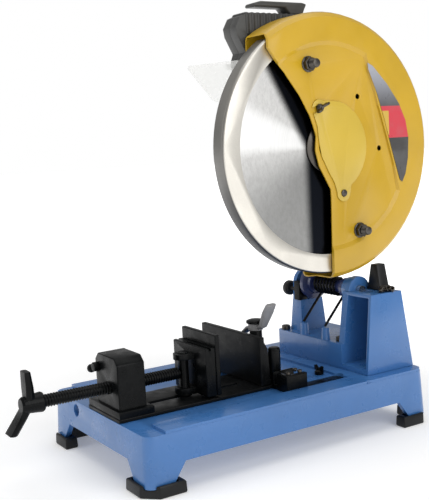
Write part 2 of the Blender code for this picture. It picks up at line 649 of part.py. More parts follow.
# ---- fence --------------------------------------------------------------------------------------------------
def build_fence():
    low = BED_TOP + GAP
    left = FENCE_RIGHT - FENCE_LENGTH
    back = FENCE_Y + FENCE_THICK
    section = [(FENCE_Y, low), (back + FENCE_FOOT, low), (back + FENCE_FOOT, low + FENCE_FOOT_THICK),
               (back, low + FENCE_FOOT_THICK), (back, FENCE_TOP), (FENCE_Y, FENCE_TOP)]
    fence = to_object("fence", prism(section, "x", left, FENCE_RIGHT), "black_paint")
    bevel(fence, 0.8 * MM)
    rib = [(back - 1 * MM, low + 2 * MM), (back + 9 * MM, low + 2 * MM), (back + 6 * MM, FENCE_TOP - 18 * MM),
           (back - 1 * MM, FENCE_TOP - 6 * MM)]
    add(fence, prism(rib, "x", FENCE_RIGHT - 8 * MM, FENCE_RIGHT - 1 * MM))
    add(fence, prism(rib, "x", left + 1 * MM, left + 8 * MM))
    bore = CLAMP_RADIUS + RUNNING_GAP
    cut(fence, turned([(low - 5 * MM, bore), (low + 20 * MM, bore)], "z", (CLAMP_X, CLAMP_Y), 24))
    cut(fence, box((CLAMP_X + FOOT_REACH, FENCE_RIGHT + 10 * MM), (back + 10 * MM, back + FENCE_FOOT + 10 * MM),
                   (low - 5 * MM, low + 20 * MM)))
    turn_about(fence, (CLAMP_X, CLAMP_Y, low))
    hub_low = CLAMP_TOP + GAP
    hub_top = hub_low + LOCK_HUB_HEIGHT
    post = to_object("fence_clamp_post", turned(
        [(low, CLAMP_RADIUS), (CLAMP_TOP, CLAMP_RADIUS), (CLAMP_TOP, 6 * MM), (hub_top + GAP, 6 * MM),
         (hub_top + GAP, CLAMP_FLANGE_RADIUS), (hub_top + 4 * MM, CLAMP_FLANGE_RADIUS),
         (hub_top + 5.5 * MM, CLAMP_FLANGE_RADIUS - 4 * MM)], "z", (CLAMP_X, CLAMP_Y), 24), "black_paint")
    lever = to_object("fence_lock_lever", sleeve(
        hub_low, hub_top, 11 * MM, 6 * MM + RUNNING_GAP, "z", (CLAMP_X, CLAMP_Y), 24), "grey_casting")
    middle = (hub_low + hub_top) / 2
    blades = (
        ((10, -1.5, 5, 2.4), (20, 4, 7, 3.5), (33, 25, 10, 3.2), (42, 38, 9, 2.6)),
        ((-10, -1.5, 5, 2.4), (-18, -5, 7, 3.2), (-29, -13, 7, 2.6)),
    )
    for blade in blades:
        sections = []
        for out, rise, wide, thick in blade:
            centre = Vector((CLAMP_X + out * MM, CLAMP_Y, middle + rise * MM))
            sections.append([centre + Vector((s * thick * MM * 0.7, t * wide * MM, -s * thick * MM * 0.7))
                             for s, t in ((1, 0.6), (0.4, 1), (-0.4, 1), (-1, 0.6), (-1, -0.6), (-0.4, -1),
                                          (0.4, -1), (1, -0.6))])
        add(lever, skin(sections))
    turn_about(lever, (CLAMP_X, CLAMP_Y, hub_low))
    pin_x = CLAMP_X + FOOT_REACH + STOP_PIN_RADIUS + 10 * MM
    pin_y = CLAMP_Y + 2 * MM
    to_object("square_stop_pin", turned(
        [(low, STOP_PIN_RADIUS), (STOP_PIN_TOP - 2 * MM, STOP_PIN_RADIUS), (STOP_PIN_TOP, STOP_PIN_RADIUS - 2 * MM)],
        "z", (pin_x, pin_y), 20), "black_paint")
    bracket_x = BED_X + BED_WIDTH / 2 + GAP
    bracket_y = back + 9 * MM
    bracket = to_object("stop_bracket", box((bracket_x, bracket_x + BRACKET_WIDTH),
                                            (bracket_y, bracket_y + BRACKET_LENGTH),
                                            (BED_LOW, BED_LOW + BRACKET_HEIGHT)), "black_paint")
    bevel(bracket, 1.0 * MM)
    cut(bracket, box((bracket_x + 7 * MM, bracket_x + BRACKET_WIDTH - 7 * MM),
                     (bracket_y + 7 * MM, bracket_y + BRACKET_LENGTH + 5 * MM),
                     (BED_LOW + 8 * MM, BED_LOW + BRACKET_HEIGHT + 5 * MM)))
    kerf = BLADE_X - 2 * MM
    cut(bracket, box((kerf, kerf + 7 * MM), (bracket_y - 5 * MM, bracket_y + BRACKET_LENGTH + 5 * MM),
                     (BED_LOW + 6 * MM, BED_LOW + BRACKET_HEIGHT + 5 * MM)))
    stop = to_object("depth_stop_screw", turned(
        [(DECK_TOP - 12 * MM, 4 * MM), (DECK_TOP + GAP, 4 * MM), (DECK_TOP + GAP, 7 * MM), (DECK_TOP + 5 * MM, 7 * MM),
         (DECK_TOP + 7 * MM, 4 * MM), (DECK_TOP + 10 * MM, 4 * MM)], "z", (DEPTH_STOP_X, DEPTH_STOP_Y), 16),
        "black_paint")
    wing = [(-9, 6), (-10, 13), (-6, 14), (0, 8), (6, 14), (10, 13), (9, 6)]
    add(stop, prism([(DEPTH_STOP_X + u * MM, DECK_TOP + v * MM) for u, v in wing], "y",
                    DEPTH_STOP_Y - 1.5 * MM, DEPTH_STOP_Y + 1.5 * MM))
    turn_about(stop, (DEPTH_STOP_X, DEPTH_STOP_Y, DECK_TOP))


# ---- stand --------------------------------------------------------------------------------------------------
def build_stand():
    rear = STAND_START + STAND_LENGTH
    wall = CASTING_WALL
    pedestal = rounded_rectangle((STAND_LEFT, OPENING_LEFT + 20 * MM), (STAND_START, rear - 1 * MM), 5 * MM, 2)
    stand = to_object("stand_casting", prism(pedestal, "z", STAND_LOW, PEDESTAL_TOP), "blue_paint")
    lean = COLUMN_LEAN

    def section(z, left, right, front, back):
        return [Vector((left, front, z)), Vector((right, front, z)), Vector((right, back, z)), Vector((left, back, z))]

    top_right = STAND_RIGHT - lean
    top_front = STAND_START + 17 * MM
    top_back = rear - 2.5 * lean
    add(stand, skin([
        section(STAND_LOW + 0.2 * MM, COLUMN_LEFT, STAND_RIGHT, STAND_START + 0.5 * MM, rear),
        section(COLUMN_TOP, COLUMN_LEFT, top_right, top_front, top_back),
    ]))
    hollow = rounded_rectangle((STAND_LEFT + wall, COLUMN_LEFT - wall), (STAND_START + wall, rear - wall), 4 * MM, 2)
    cut(stand, prism(hollow, "z", STAND_LOW - 5 * MM, PEDESTAL_TOP - wall))
    cavity = COLUMN_WALL
    sill = STAND_LOW + 8 * MM
    cut(stand, skin([
        section(sill, OPENING_LEFT, STAND_RIGHT - cavity - 0.5 * MM, STAND_START - 30 * MM, rear - cavity),
        section(COLUMN_TOP - cavity, OPENING_LEFT + 1 * MM, top_right - cavity, STAND_START - 30 * MM,
                top_back - cavity),
    ]))
    right = UPRIGHT_LEFT + UPRIGHT_WIDTH
    y0 = PIVOT_Y - UPRIGHT_DEPTH / 2
    y1 = PIVOT_Y + UPRIGHT_DEPTH / 2
    low = PEDESTAL_TOP - 4 * MM
    round_top = arc((PIVOT_Y, PIVOT_Z), PIVOT_BOSS_RADIUS, 0, 180, 10)
    add(stand, skin([
        section(low, UPRIGHT_LEFT - 1 * MM, right + 3 * MM, y0 - 2 * MM, y1 + 4 * MM),
        section(SHOULDER_TOP, TAB_LEFT, right, y0, y1 - 1 * MM),
    ]))
    add(stand, prism([(y0, SHOULDER_TOP - 8 * MM), (y1 - 3 * MM, SHOULDER_TOP - 8 * MM)] + round_top, "x",
                     TAB_LEFT + 0.3 * MM, TAB_LEFT + TAB_WIDTH))
    add(stand, prism([(y0 + 4 * MM, SHOULDER_TOP), (y1 - 4 * MM, SHOULDER_TOP)] + round_top, "x",
                     COLUMN_LEFT, OPENING_LEFT - 1 * MM))
    add(stand, turned([(EAR_LEFT, PIVOT_BOSS_RADIUS - 3 * MM), (COLUMN_LEFT + 4 * MM, PIVOT_BOSS_RADIUS - 3 * MM)],
                      "x", (PIVOT_Y, PIVOT_Z), 24))
    for x in (SPRING_LEFT, SPRING_RIGHT):
        add(stand, turned([(PEDESTAL_TOP - 2 * MM, SPRING_POST_RADIUS + 1 * MM), (SPRING_POST_TOP, SPRING_POST_RADIUS)],
                          "z", (x, SPRING_POST_Y), 16))
    bore = PIVOT_RADIUS + GAP
    cut(stand, turned([(TAB_LEFT - 20 * MM, bore), (OPENING_LEFT + 20 * MM, bore)], "x", (PIVOT_Y, PIVOT_Z), 20))
    pin_hole = LOCK_RADIUS + RUNNING_GAP
    cut(stand, turned([(TAB_LEFT - 20 * MM, pin_hole), (TAB_LEFT + TAB_WIDTH + 5 * MM, pin_hole)], "x",
                      (LOCK_Y, LOCK_Z), 16))
    for name, x, y in (("left", STAND_LEFT + 13 * MM, STAND_START + 8 * MM),
                       ("right", COLUMN_LEFT - 8.5 * MM, STAND_START + 16 * MM)):
        hole = 4.4 * MM
        cut(stand, turned([(PEDESTAL_TOP - 20 * MM, hole), (PEDESTAL_TOP + 20 * MM, hole)], "z", (x, y), 12))
        top = PEDESTAL_TOP + GAP
        bolt = to_object(f"stand_bolt_{name}", turned(
            [(PEDESTAL_TOP - 14 * MM, 4 * MM), (top, 4 * MM), (top, 7 * MM), (top + 6 * MM, 7 * MM),
             (top + 7 * MM, 6 * MM)], "z", (x, y), 12), "dark_steel")
        cut(bolt, prism(circle((x, y), 3.6 * MM, 6), "z", top + 3 * MM, top + 12 * MM))


def build_pivot():
    to_object("pivot_shaft", turned(
        [(TAB_LEFT - 4 * MM, PIVOT_RADIUS - 1 * MM), (TAB_LEFT - 3 * MM, PIVOT_RADIUS),
         (OPENING_LEFT + 6 * MM, PIVOT_RADIUS)], "x", (PIVOT_Y, PIVOT_Z), 20), "steel")
    guide_left = TAB_LEFT + TAB_WIDTH + GAP
    guide_right = UPRIGHT_LEFT + UPRIGHT_WIDTH + 2 * MM
    guide = to_object("lock_pin_guide", box((guide_left, guide_right), (LOCK_Y - 8 * MM, LOCK_Y + 9 * MM),
                                            (SHOULDER_TOP + GAP, LOCK_Z + 15 * MM)), "black_paint")
    cut(guide, turned([(guide_left - 5 * MM, LOCK_RADIUS + RUNNING_GAP), (guide_right + 5 * MM, LOCK_RADIUS + RUNNING_GAP)],
                      "x", (LOCK_Y, LOCK_Z), 16))
    cut(guide, turned([(guide_left - 5 * MM, PIVOT_RADIUS + 1.5 * MM), (guide_right + 5 * MM, PIVOT_RADIUS + 1.5 * MM)],
                      "x", (PIVOT_Y, PIVOT_Z), 20))
    bevel(guide, 0.8 * MM)
    knob_right = TAB_LEFT - LOCK_TRAVEL - 0.5 * MM
    knob = turned([(knob_right - KNOB_LENGTH, KNOB_RADIUS - 3 * MM), (knob_right - KNOB_LENGTH + 2 * MM, KNOB_RADIUS),
                   (knob_right - 3 * MM, KNOB_RADIUS), (knob_right, KNOB_RADIUS - 3 * MM)], "x", (LOCK_Y, LOCK_Z), 16)
    pin = to_object("head_lock_pin", knob, "black_plastic")
    add(pin, turned([(knob_right - 2 * MM, LOCK_RADIUS), (guide_right + 0.8 * MM, LOCK_RADIUS)], "x",
                    (LOCK_Y, LOCK_Z), 16))
    turn_about(pin, (knob_right, LOCK_Y, LOCK_Z))
    seat = Vector((0, SPRING_POST_Y - 1 * MM, SPRING_POST_TOP + GAP + SPRING_WIRE))
    reach = seat - Vector((0, PIVOT_Y, PIVOT_Z))
    leave = math.atan2(reach.z, reach.y) % math.tau + math.acos(SPRING_COIL / Vector((0, reach.y, reach.z)).length)
    steps = 10 * SPRING_TURNS
    path = [Vector((SPRING_LEFT, seat.y, seat.z))]
    for i in range(steps + 1):
        angle = leave + math.tau * SPRING_TURNS * i / steps
        x = SPRING_LEFT + (SPRING_RIGHT - SPRING_LEFT) * i / steps
        path.append(Vector((x, PIVOT_Y + SPRING_COIL * math.cos(angle), PIVOT_Z + SPRING_COIL * math.sin(angle))))
    path.append(Vector((SPRING_RIGHT, PIVOT_Y + SPRING_COIL * math.cos(leave) + (seat.y - path[1].y) * 0.999,
                        seat.z)))
    to_object("torsion_spring", tube(path, SPRING_WIRE, 6), "black_paint")


def build_stand_top():
    low = COLUMN_TOP + GAP
    x0 = COLUMN_LEFT + 12 * MM
    x1 = x0 + 32 * MM
    y1 = STAND_START + STAND_LENGTH - COLUMN_LEAN * 2.5 - 2 * MM
    y0 = y1 - 22 * MM
    rise = 39 * MM

    def ring(z, inset):
        return [Vector((x, y, z)) for x, y in rounded_rectangle((x0 + inset, x1 - inset),
                                                                (y0 + inset * 0.2, y1 - inset * 0.2), 3 * MM, 2)]

    to_object("up_stop", skin([ring(low, 0), ring(low + 3 * MM, 0), ring(low + 5 * MM, 2 * MM),
                               ring(low + rise, 8.5 * MM)]), "rubber")
    heap = []
    centre = (x1 + 11 * MM, y0 + 2 * MM)
    for z, rx, ry in ((0, 9, 14), (2, 9.5, 15), (5, 7, 10), (6.5, 3, 5)):
        heap.append([Vector((centre[0] + rx * MM * math.cos(math.tau * k / 14),
                             centre[1] + ry * MM * math.sin(math.tau * k / 14), low + z * MM)) for k in range(14)])
    to_object("hold_down_chain", skin(heap), "black_paint")


# ---- drive --------------------------------------------------------------------------------------------------
def gear_outline(centre, teeth, phase):
    pitch = math.tau / teeth
    radius = GEAR_MODULE * teeth / 2
    root, tip = radius - 1.15 * GEAR_MODULE, radius + 0.85 * GEAR_MODULE
    outline = []
    for i in range(teeth):
        middle = phase + i * pitch
        for r, part in ((root, -0.27), (tip, -0.09), (tip, 0.09), (root, 0.27)):
            angle = middle + part * pitch
            outline.append((centre[0] + r * math.cos(angle), centre[1] + r * math.sin(angle)))
    return outline


def drive_case(wall):
    gear = circle((BLADE_Y, BLADE_Z), GEAR_MODULE * GEAR_TEETH / 2 + 9 * MM - wall, 40)
    motor = circle((MOTOR_Y, MOTOR_Z), MOTOR_RADIUS + 4 * MM - wall, 40)
    return hull(gear + motor)


def build_gearbox():
    axis = (BLADE_Y, BLADE_Z)
    case = to_object("gearbox_housing", prism(drive_case(0), "x", GEARBOX_BACK, GEARBOX_FRONT), "aluminium")
    add(case, turned([(GEARBOX_FRONT - 2 * MM, NOSE_RADIUS), (NOSE_END, NOSE_RADIUS)], "x", axis, 32))
    bottom = BLADE_Z - GEAR_MODULE * GEAR_TEETH / 2 - 10 * MM
    add(case, box((GEARBOX_BACK + 3 * MM, GEARBOX_FRONT - 3 * MM), (BLADE_Y - 14 * MM, BLADE_Y + 58 * MM),
                  (bottom, BLADE_Z - 30 * MM)))
    add(case, box((HANDLE_LEFT + 2 * MM, HANDLE_RIGHT - 2 * MM), (BLADE_Y - 35 * MM, BLADE_Y + 19 * MM),
                  (BLADE_Z + 30 * MM, HANDLE_FOOT - GAP)))
    cut(case, prism(drive_case(GEARBOX_WALL), "x", GEARBOX_BACK - 10 * MM, GEARBOX_FRONT - GEARBOX_WALL))
    cut(case, turned([(GEARBOX_FRONT - 10 * MM, BEARING_RADIUS + GAP), (NOSE_END + 10 * MM, BEARING_RADIUS + GAP)],
                     "x", axis, 32))
    button_z = BLADE_Z
    front = BLADE_Y - GEAR_MODULE * GEAR_TEETH / 2 - 9 * MM
    cut(case, turned([(front - 10 * MM, 4.4 * MM), (front + 10 * MM, 4.4 * MM)], "y", (22 * MM, button_z), 16))
    lock = to_object("spindle_lock_button", turned(
        [(front - 9 * MM, 5.5 * MM), (front - 7.5 * MM, 7 * MM), (front - 4 * MM, 7 * MM), (front - 4 * MM, 4 * MM),
         (front + 2.5 * MM, 4 * MM)], "y", (22 * MM, button_z), 16), "black_plastic")
    turn_about(lock, (22 * MM, front, button_z))

    spindle = to_object("spindle", turned([(8 * MM, ARBOR_RADIUS), (BLADE_X + BLADE_THICK - 0.4 * MM, ARBOR_RADIUS)],
                                          "x", axis, 24), "steel")
    cut(spindle, turned([(58 * MM, BOLT_RADIUS + GAP), (BLADE_X + 20 * MM, BOLT_RADIUS + GAP)], "x", axis, 16))
    gear_z = GEAR_BACK + GEAR_WIDTH
    gear = to_object("drive_gear", prism(gear_outline(axis, GEAR_TEETH, MOTOR_ANGLE), "x", GEAR_BACK, gear_z),
                     "dark_steel")
    cut(gear, turned([(GEAR_BACK - 5 * MM, ARBOR_RADIUS + GAP), (gear_z + 5 * MM, ARBOR_RADIUS + GAP)], "x", axis, 24))
    to_object("spindle_bearing", sleeve(NOSE_END - 3 * MM - BEARING_WIDTH, NOSE_END - 3 * MM, BEARING_RADIUS,
                                        ARBOR_RADIUS + GAP, "x", axis, 32), "steel")
    inner_x = BLADE_X - GAP - INNER_FLANGE_THICK
    inner = to_object("inner_flange", turned(
        [(inner_x, 20 * MM), (inner_x + 3 * MM, FLANGE_RADIUS), (BLADE_X - GAP, FLANGE_RADIUS)], "x", axis, 32),
        "dark_steel")
    cut(inner, turned([(inner_x - 5 * MM, ARBOR_RADIUS + GAP), (BLADE_X + 5 * MM, ARBOR_RADIUS + GAP)], "x", axis, 24))
    outline = []
    for i in range(BLADE_TEETH):
        for part, radius in ((0.0, BLADE_RADIUS), (0.72, BLADE_RADIUS - TOOTH_DEPTH)):
            angle = math.tau * (i + part) / BLADE_TEETH
            outline.append((axis[0] + radius * math.cos(angle), axis[1] + radius * math.sin(angle)))
    blade = to_object("blade", prism(outline, "x", BLADE_X, BLADE_X + BLADE_THICK), "steel")
    cut(blade, turned([(BLADE_X - 5 * MM, ARBOR_RADIUS + GAP), (BLADE_X + 10 * MM, ARBOR_RADIUS + GAP)], "x", axis, 24))
    outer_x = BLADE_X + BLADE_THICK + GAP
    outer = to_object("outer_flange", turned(
        [(outer_x, FLANGE_RADIUS), (outer_x + 2 * MM, FLANGE_RADIUS), (outer_x + OUTER_FLANGE_THICK, 22 * MM)],
        "x", axis, 32), "dark_steel")
    cut(outer, turned([(outer_x - 5 * MM, BOLT_RADIUS + GAP), (outer_x + 20 * MM, BOLT_RADIUS + GAP)], "x", axis, 16))
    head_x = outer_x + OUTER_FLANGE_THICK + GAP
    bolt = to_object("arbor_bolt", turned([(60 * MM, BOLT_RADIUS), (head_x + 1 * MM, BOLT_RADIUS)], "x", axis, 16),
                     "dark_steel")
    add(bolt, prism(circle(axis, 11 * MM, 6), "x", head_x, head_x + BOLT_HEAD))
    for part in (spindle, gear, inner, blade, outer, bolt):
        turn_about(part, (0, *axis))


def build_motor():
    axis = (MOTOR_Y, MOTOR_Z)
    front = GEARBOX_BACK - GAP
    flange = 6 * MM
    rear = front - flange - MOTOR_LENGTH
    motor = to_object("motor_housing", prism(drive_case(0), "x", front - flange, front), "black_plastic")
    add(motor, turned([(rear, MOTOR_RADIUS), (front - 1 * MM, MOTOR_RADIUS)], "x", axis, 32))
    wall_x = front - 12 * MM
    cut(motor, turned([(rear - 10 * MM, MOTOR_RADIUS - MOTOR_WALL), (wall_x, MOTOR_RADIUS - MOTOR_WALL)], "x", axis, 32))
    cut(motor, turned([(wall_x - 5 * MM, MOTOR_BEARING + GAP), (front + 10 * MM, MOTOR_BEARING + GAP)], "x", axis, 24))
    cap_x = rear - GAP
    cap = to_object("motor_end_cap", turned(
        [(cap_x - CAP_THICK, MOTOR_RADIUS * 0.55), (cap_x - CAP_THICK * 0.7, MOTOR_RADIUS * 0.86),
         (cap_x - 4 * MM, MOTOR_RADIUS), (cap_x, MOTOR_RADIUS)], "x", axis, 32), "black_plastic")
    pocket = cap_x - MOTOR_BEARING_WIDTH - 1 * MM
    cut(cap, turned([(pocket, REAR_BEARING + GAP), (cap_x + 5 * MM, REAR_BEARING + GAP)], "x", axis, 24))
    to_object("motor_bearing_front", sleeve(wall_x + 1 * MM, wall_x + 1 * MM + MOTOR_BEARING_WIDTH, MOTOR_BEARING,
                                            MOTOR_SHAFT + GAP, "x", axis, 24), "steel")
    to_object("motor_bearing_rear", sleeve(cap_x - MOTOR_BEARING_WIDTH, cap_x, REAR_BEARING,
                                           MOTOR_SHAFT + GAP, "x", axis, 24), "steel")
    shaft_end = GEAR_BACK + GEAR_WIDTH + 2 * MM
    rotor = to_object("armature", turned(
        [(pocket + 0.5 * MM, MOTOR_SHAFT), (rear + 8 * MM, MOTOR_SHAFT), (rear + 8 * MM, 14 * MM),
         (rear + 22 * MM, 14 * MM), (rear + 24 * MM, 24 * MM), (rear + 27 * MM, 27 * MM), (rear + 72 * MM, 27 * MM),
         (rear + 75 * MM, 22 * MM), (rear + 76 * MM, MOTOR_SHAFT), (shaft_end, MOTOR_SHAFT)], "x", axis, 24), "copper")
    phase = MOTOR_ANGLE + math.pi + math.pi / PINION_TEETH
    add(rotor, prism(gear_outline(axis, PINION_TEETH, phase), "x", GEAR_BACK - 1 * MM, shaft_end - 1 * MM))
    fan_x = rear + 82 * MM
    fan = to_object("cooling_fan", turned(
        [(fan_x, 12 * MM), (fan_x + 4 * MM, 38 * MM), (fan_x + 12 * MM, 38 * MM), (fan_x + 14 * MM, 34 * MM)], "x",
        axis, 24), "black_plastic")
    cut(fan, turned([(fan_x - 5 * MM, MOTOR_SHAFT + GAP), (fan_x + 20 * MM, MOTOR_SHAFT + GAP)], "x", axis, 16))
    turn_about(rotor, (0, *axis))
    turn_about(fan, (0, *axis))


def build_arm():
    hub_left = UPRIGHT_LEFT + UPRIGHT_WIDTH + 4 * MM
    hub_right = EAR_LEFT - 1 * MM
    axis = (PIVOT_Y, PIVOT_Z)
    arm = to_object("swing_arm", turned(
        [(hub_left, 27 * MM), (hub_left + 7 * MM, 27 * MM), (hub_left + 8 * MM, 18 * MM),
         (SPRING_LEFT - 4 * MM, 17 * MM), (SPRING_LEFT - 3.5 * MM, 10.6 * MM), (hub_right - 8 * MM, 10.6 * MM),
         (hub_right - 7.5 * MM, 16 * MM), (hub_right, 16 * MM)], "x", axis, 32), "blue_paint")
    top = BLADE_Z - GEAR_MODULE * GEAR_TEETH / 2 - 10 * MM - GAP
    right = SPRING_LEFT - 3.6 * MM
    levels = (
        (hub_left + 1 * MM, right, PIVOT_Y - 12 * MM, PIVOT_Y + 12 * MM, PIVOT_Z),
        (hub_left + 1 * MM, right + 2 * MM, PIVOT_Y - 18 * MM, PIVOT_Y + 16 * MM, PIVOT_Z + 20 * MM),
        (hub_left + 4 * MM, right + 22 * MM, PIVOT_Y - 30 * MM, PIVOT_Y + 13 * MM, PIVOT_Z + 45 * MM),
        (GEARBOX_BACK - 12 * MM, GEARBOX_FRONT - 6 * MM, PIVOT_Y - 58 * MM, PIVOT_Y + 4 * MM, PIVOT_Z + 100 * MM),
        (GEARBOX_BACK + 3 * MM, GEARBOX_FRONT - 3 * MM, BLADE_Y - 14 * MM, BLADE_Y + 58 * MM, top),
    )
    add(arm, skin([[Vector((x, y, z)) for x, y in ((a, c), (b, c), (b, d), (a, d))] for a, b, c, d, z in levels]))
    bore = PIVOT_RADIUS + RUNNING_GAP
    cut(arm, turned([(hub_left - 10 * MM, bore), (hub_right + 10 * MM, bore)], "x", axis, 20))
    away = (LOCK_Y - PIVOT_Y, LOCK_Z - PIVOT_Z)
    for turn in (0, -HEAD_TRAVEL):
        place = (PIVOT_Y + away[0] * math.cos(turn) - away[1] * math.sin(turn),
                 PIVOT_Z + away[0] * math.sin(turn) + away[1] * math.cos(turn))
        cut(arm, turned([(hub_left - 5 * MM, LOCK_RADIUS + 0.8 * MM), (hub_left + 6.5 * MM, LOCK_RADIUS + 0.8 * MM)],
                        "x", place, 16))
    turn_about(arm, (0, *axis))


# ---- guards -------------------------------------------------------------------------------------------------
def build_guard():
    axis = (BLADE_Y, BLADE_Z)
    wall = GUARD_WALL
    outer = [(GUARD_BACK, GUARD_RADIUS - 5 * MM), (GUARD_BACK + 2 * MM, GUARD_RADIUS - 1.5 * MM),
             (GUARD_BACK + 6 * MM, GUARD_RADIUS), (GUARD_FRONT - 12 * MM, GUARD_RADIUS),
             (GUARD_FRONT - 5 * MM, GUARD_RADIUS - 2.5 * MM), (GUARD_FRONT, GUARD_RADIUS - 8.5 * MM)]
    inner = [(GUARD_BACK + wall, GUARD_RADIUS - 6 * MM), (GUARD_BACK + wall + 3 * MM, GUARD_RADIUS - wall),
             (GUARD_FACE_INNER - 4 * MM, GUARD_RADIUS - wall), (GUARD_FACE_INNER, GUARD_RADIUS - wall - 4.5 * MM)]
    guard = to_object("upper_guard", turned(outer, "x", axis, 72), "yellow_paint")
    cut(guard, turned(inner, "x", axis, 72))
    far = GUARD_RADIUS + 60 * MM
    lip = GUARD_LIP_Y
    free_edge = [(lip, far), (lip, 141 * MM), (-96 * MM, 126 * MM), (-79 * MM, 108 * MM), (-53 * MM, 75 * MM),
                 (-36 * MM, 46 * MM), (-30 * MM, 30 * MM), (-26 * MM, 17 * MM), (-28 * MM, -4 * MM),
                 (-22 * MM, -27 * MM), (-9 * MM, -50 * MM), (-2 * MM, -62 * MM), (-1.5 * MM, -75 * MM),
                 (-5 * MM, -far), (-far, -far), (-far, far)]
    cut(guard, prism([at_blade(p) for p in free_edge], "x", GUARD_BACK + 12 * MM, GUARD_FRONT + 10 * MM))
    back_edge = [(lip, far), (lip, 128 * MM), (-60 * MM, 62 * MM), (-48 * MM, 0), (-40 * MM, -44 * MM),
                 (-20 * MM, -92 * MM), (-20 * MM, -far), (-far, -far), (-far, far)]
    cut(guard, prism([at_blade(p) for p in back_edge], "x", GUARD_BACK - 10 * MM, GUARD_BACK + 12.5 * MM))
    recess = [at_blade(p) for p in (
        arc((0, 0), RECESS_RADIUS, 62, 331, 40)
        + [(122 * MM, -34 * MM), (108 * MM, 12 * MM), (93 * MM, 58 * MM)])]
    cut(guard, prism(recess, "x", GUARD_RECESS, GUARD_FRONT + 10 * MM))
    cut(guard, turned([(GUARD_BACK - 5 * MM, NOSE_RADIUS + 0.8 * MM), (GUARD_BACK + 10 * MM, NOSE_RADIUS + 0.8 * MM)],
                      "x", axis, 32))
    holes = [((0, 0), ACCESS_RADIUS, 24), (WING_AT, COVER_SCREW_RADIUS + GAP, 10),
             (RIVET_AT, COVER_SCREW_RADIUS + GAP, 10), (UPPER_BOLT_AT, 5 * MM + GAP, 12),
             (LOWER_BOLT_AT, 5 * MM + GAP, 12)]
    holes += [(place, SMALL_HOLE_RADIUS, 12) for place in SMALL_HOLES]
    for place, radius, steps in holes:
        cut(guard, turned([(GUARD_FACE_INNER - 3 * MM, radius), (GUARD_FRONT + 5 * MM, radius)], "x",
                          at_blade(place), steps))


def build_cover():
    low = GUARD_RECESS + GAP
    top = low + COVER_THICK
    outline = (
        arc(WING_AT, COVER_LOBE, 208, 62, 8)
        + arc((0, 0), COVER_RADIUS, 74, -58, 14)
        + arc(RIVET_AT, COVER_LOBE, -20, -190, 8)
        + [(4 * MM, -52 * MM), (-6 * MM, -36 * MM), (-18 * MM, -13 * MM), (-22 * MM, 8 * MM), (-24 * MM, 30 * MM)]
    )
    cover = to_object("access_cover", prism([at_blade(p) for p in outline], "x", low, top), "yellow_paint")
    cut(cover, turned([(low - 5 * MM, COVER_SCREW_RADIUS + 0.15 * MM), (top + 5 * MM, COVER_SCREW_RADIUS + 0.15 * MM)],
                      "x", at_blade(RIVET_AT), 16))
    reach = COVER_SCREW_RADIUS + 1.3 * MM
    away = math.atan2(WING_AT[1] - RIVET_AT[1], WING_AT[0] - RIVET_AT[0]) + math.pi / 2
    notch = []
    for side, out in ((-1, 0), (1, 0), (1, 30 * MM), (-1, 30 * MM)):
        notch.append((WING_AT[0] + out * math.cos(away) - side * reach * math.sin(away),
                      WING_AT[1] + out * math.sin(away) + side * reach * math.cos(away)))
    cut(cover, prism([at_blade(p) for p in hull(notch + circle(WING_AT, reach, 12))], "x", low - 5 * MM, top + 5 * MM))
    turn_about(cover, (0, *at_blade(RIVET_AT)))
    to_object("cover_pivot_rivet", turned(
        [(GUARD_FACE_INNER - 2 * MM, 5 * MM), (GUARD_FACE_INNER - GAP, 5 * MM),
         (GUARD_FACE_INNER - GAP, COVER_SCREW_RADIUS), (top + GAP, COVER_SCREW_RADIUS), (top + GAP, 5.5 * MM),
         (top + 1.5 * MM, 5.2 * MM), (top + 2.2 * MM, 3.5 * MM)], "x", at_blade(RIVET_AT), 20), "dark_steel")
    wing = to_object("wing_bolt", turned(
        [(GUARD_FACE_INNER - 2 * MM, COVER_SCREW_RADIUS), (top + GAP, COVER_SCREW_RADIUS), (top + GAP, 6 * MM),
         (top + 3 * MM, 6 * MM), (top + 6 * MM, 4 * MM)], "x", at_blade(WING_AT), 16), "dark_steel")
    leaf = [(-3, 2), (-11, 5), (-12, 12), (-8, 13), (0, 6), (8, 13), (12, 12), (11, 5), (3, 2)]
    tilt = math.radians(35)
    shape = bmesh.new()
    rings = []
    for side in (-1.3 * MM, 1.3 * MM):
        rings.append([shape.verts.new(Vector((
            top + v * MM,
            BLADE_Y + WING_AT[0] + u * MM * math.cos(tilt) - side * math.sin(tilt),
            BLADE_Z + WING_AT[1] + u * MM * math.sin(tilt) + side * math.cos(tilt)))) for u, v in leaf])
    count = len(leaf)
    for i in range(count):
        j = (i + 1) % count
        shape.faces.new((rings[0][i], rings[0][j], rings[1][j], rings[1][i]))
    shape.faces.new(rings[0])
    shape.faces.new(rings[1])
    add(wing, shape)
    turn_about(wing, (0, *at_blade(WING_AT)))
    for name, place in (("guard_bolt_upper", UPPER_BOLT_AT), ("guard_bolt_lower", LOWER_BOLT_AT)):
        where = at_blade(place)
        face = GUARD_RECESS + GAP
        bolt = to_object(name, turned([(GUARD_FACE_INNER - 3 * MM, 5 * MM), (face + 9 * MM, 5 * MM),
                                       (face + 9 * MM, 6.5 * MM), (face + 19 * MM, 6.5 * MM),
                                       (face + 20.5 * MM, 5 * MM)], "x", where, 16), "dark_steel")
        add(bolt, prism(circle(where, 10.5 * MM, 6, 0.3), "x", face, face + 8.5 * MM))
    lens = [(73, 121), (83, 116), (110, 90), (134, 60), (147, 34), (152, 8), (150, -24), (144, -48), (137, -60),
            (132, -56), (118, -12), (104, 36), (90, 76), (74, 112)]
    low = GUARD_FRONT + GAP
    to_object("graphic_plate", prism([at_blade((u * MM, v * MM)) for u, v in lens], "x", low, low + GRAPHIC_THICK),
              "graphic")


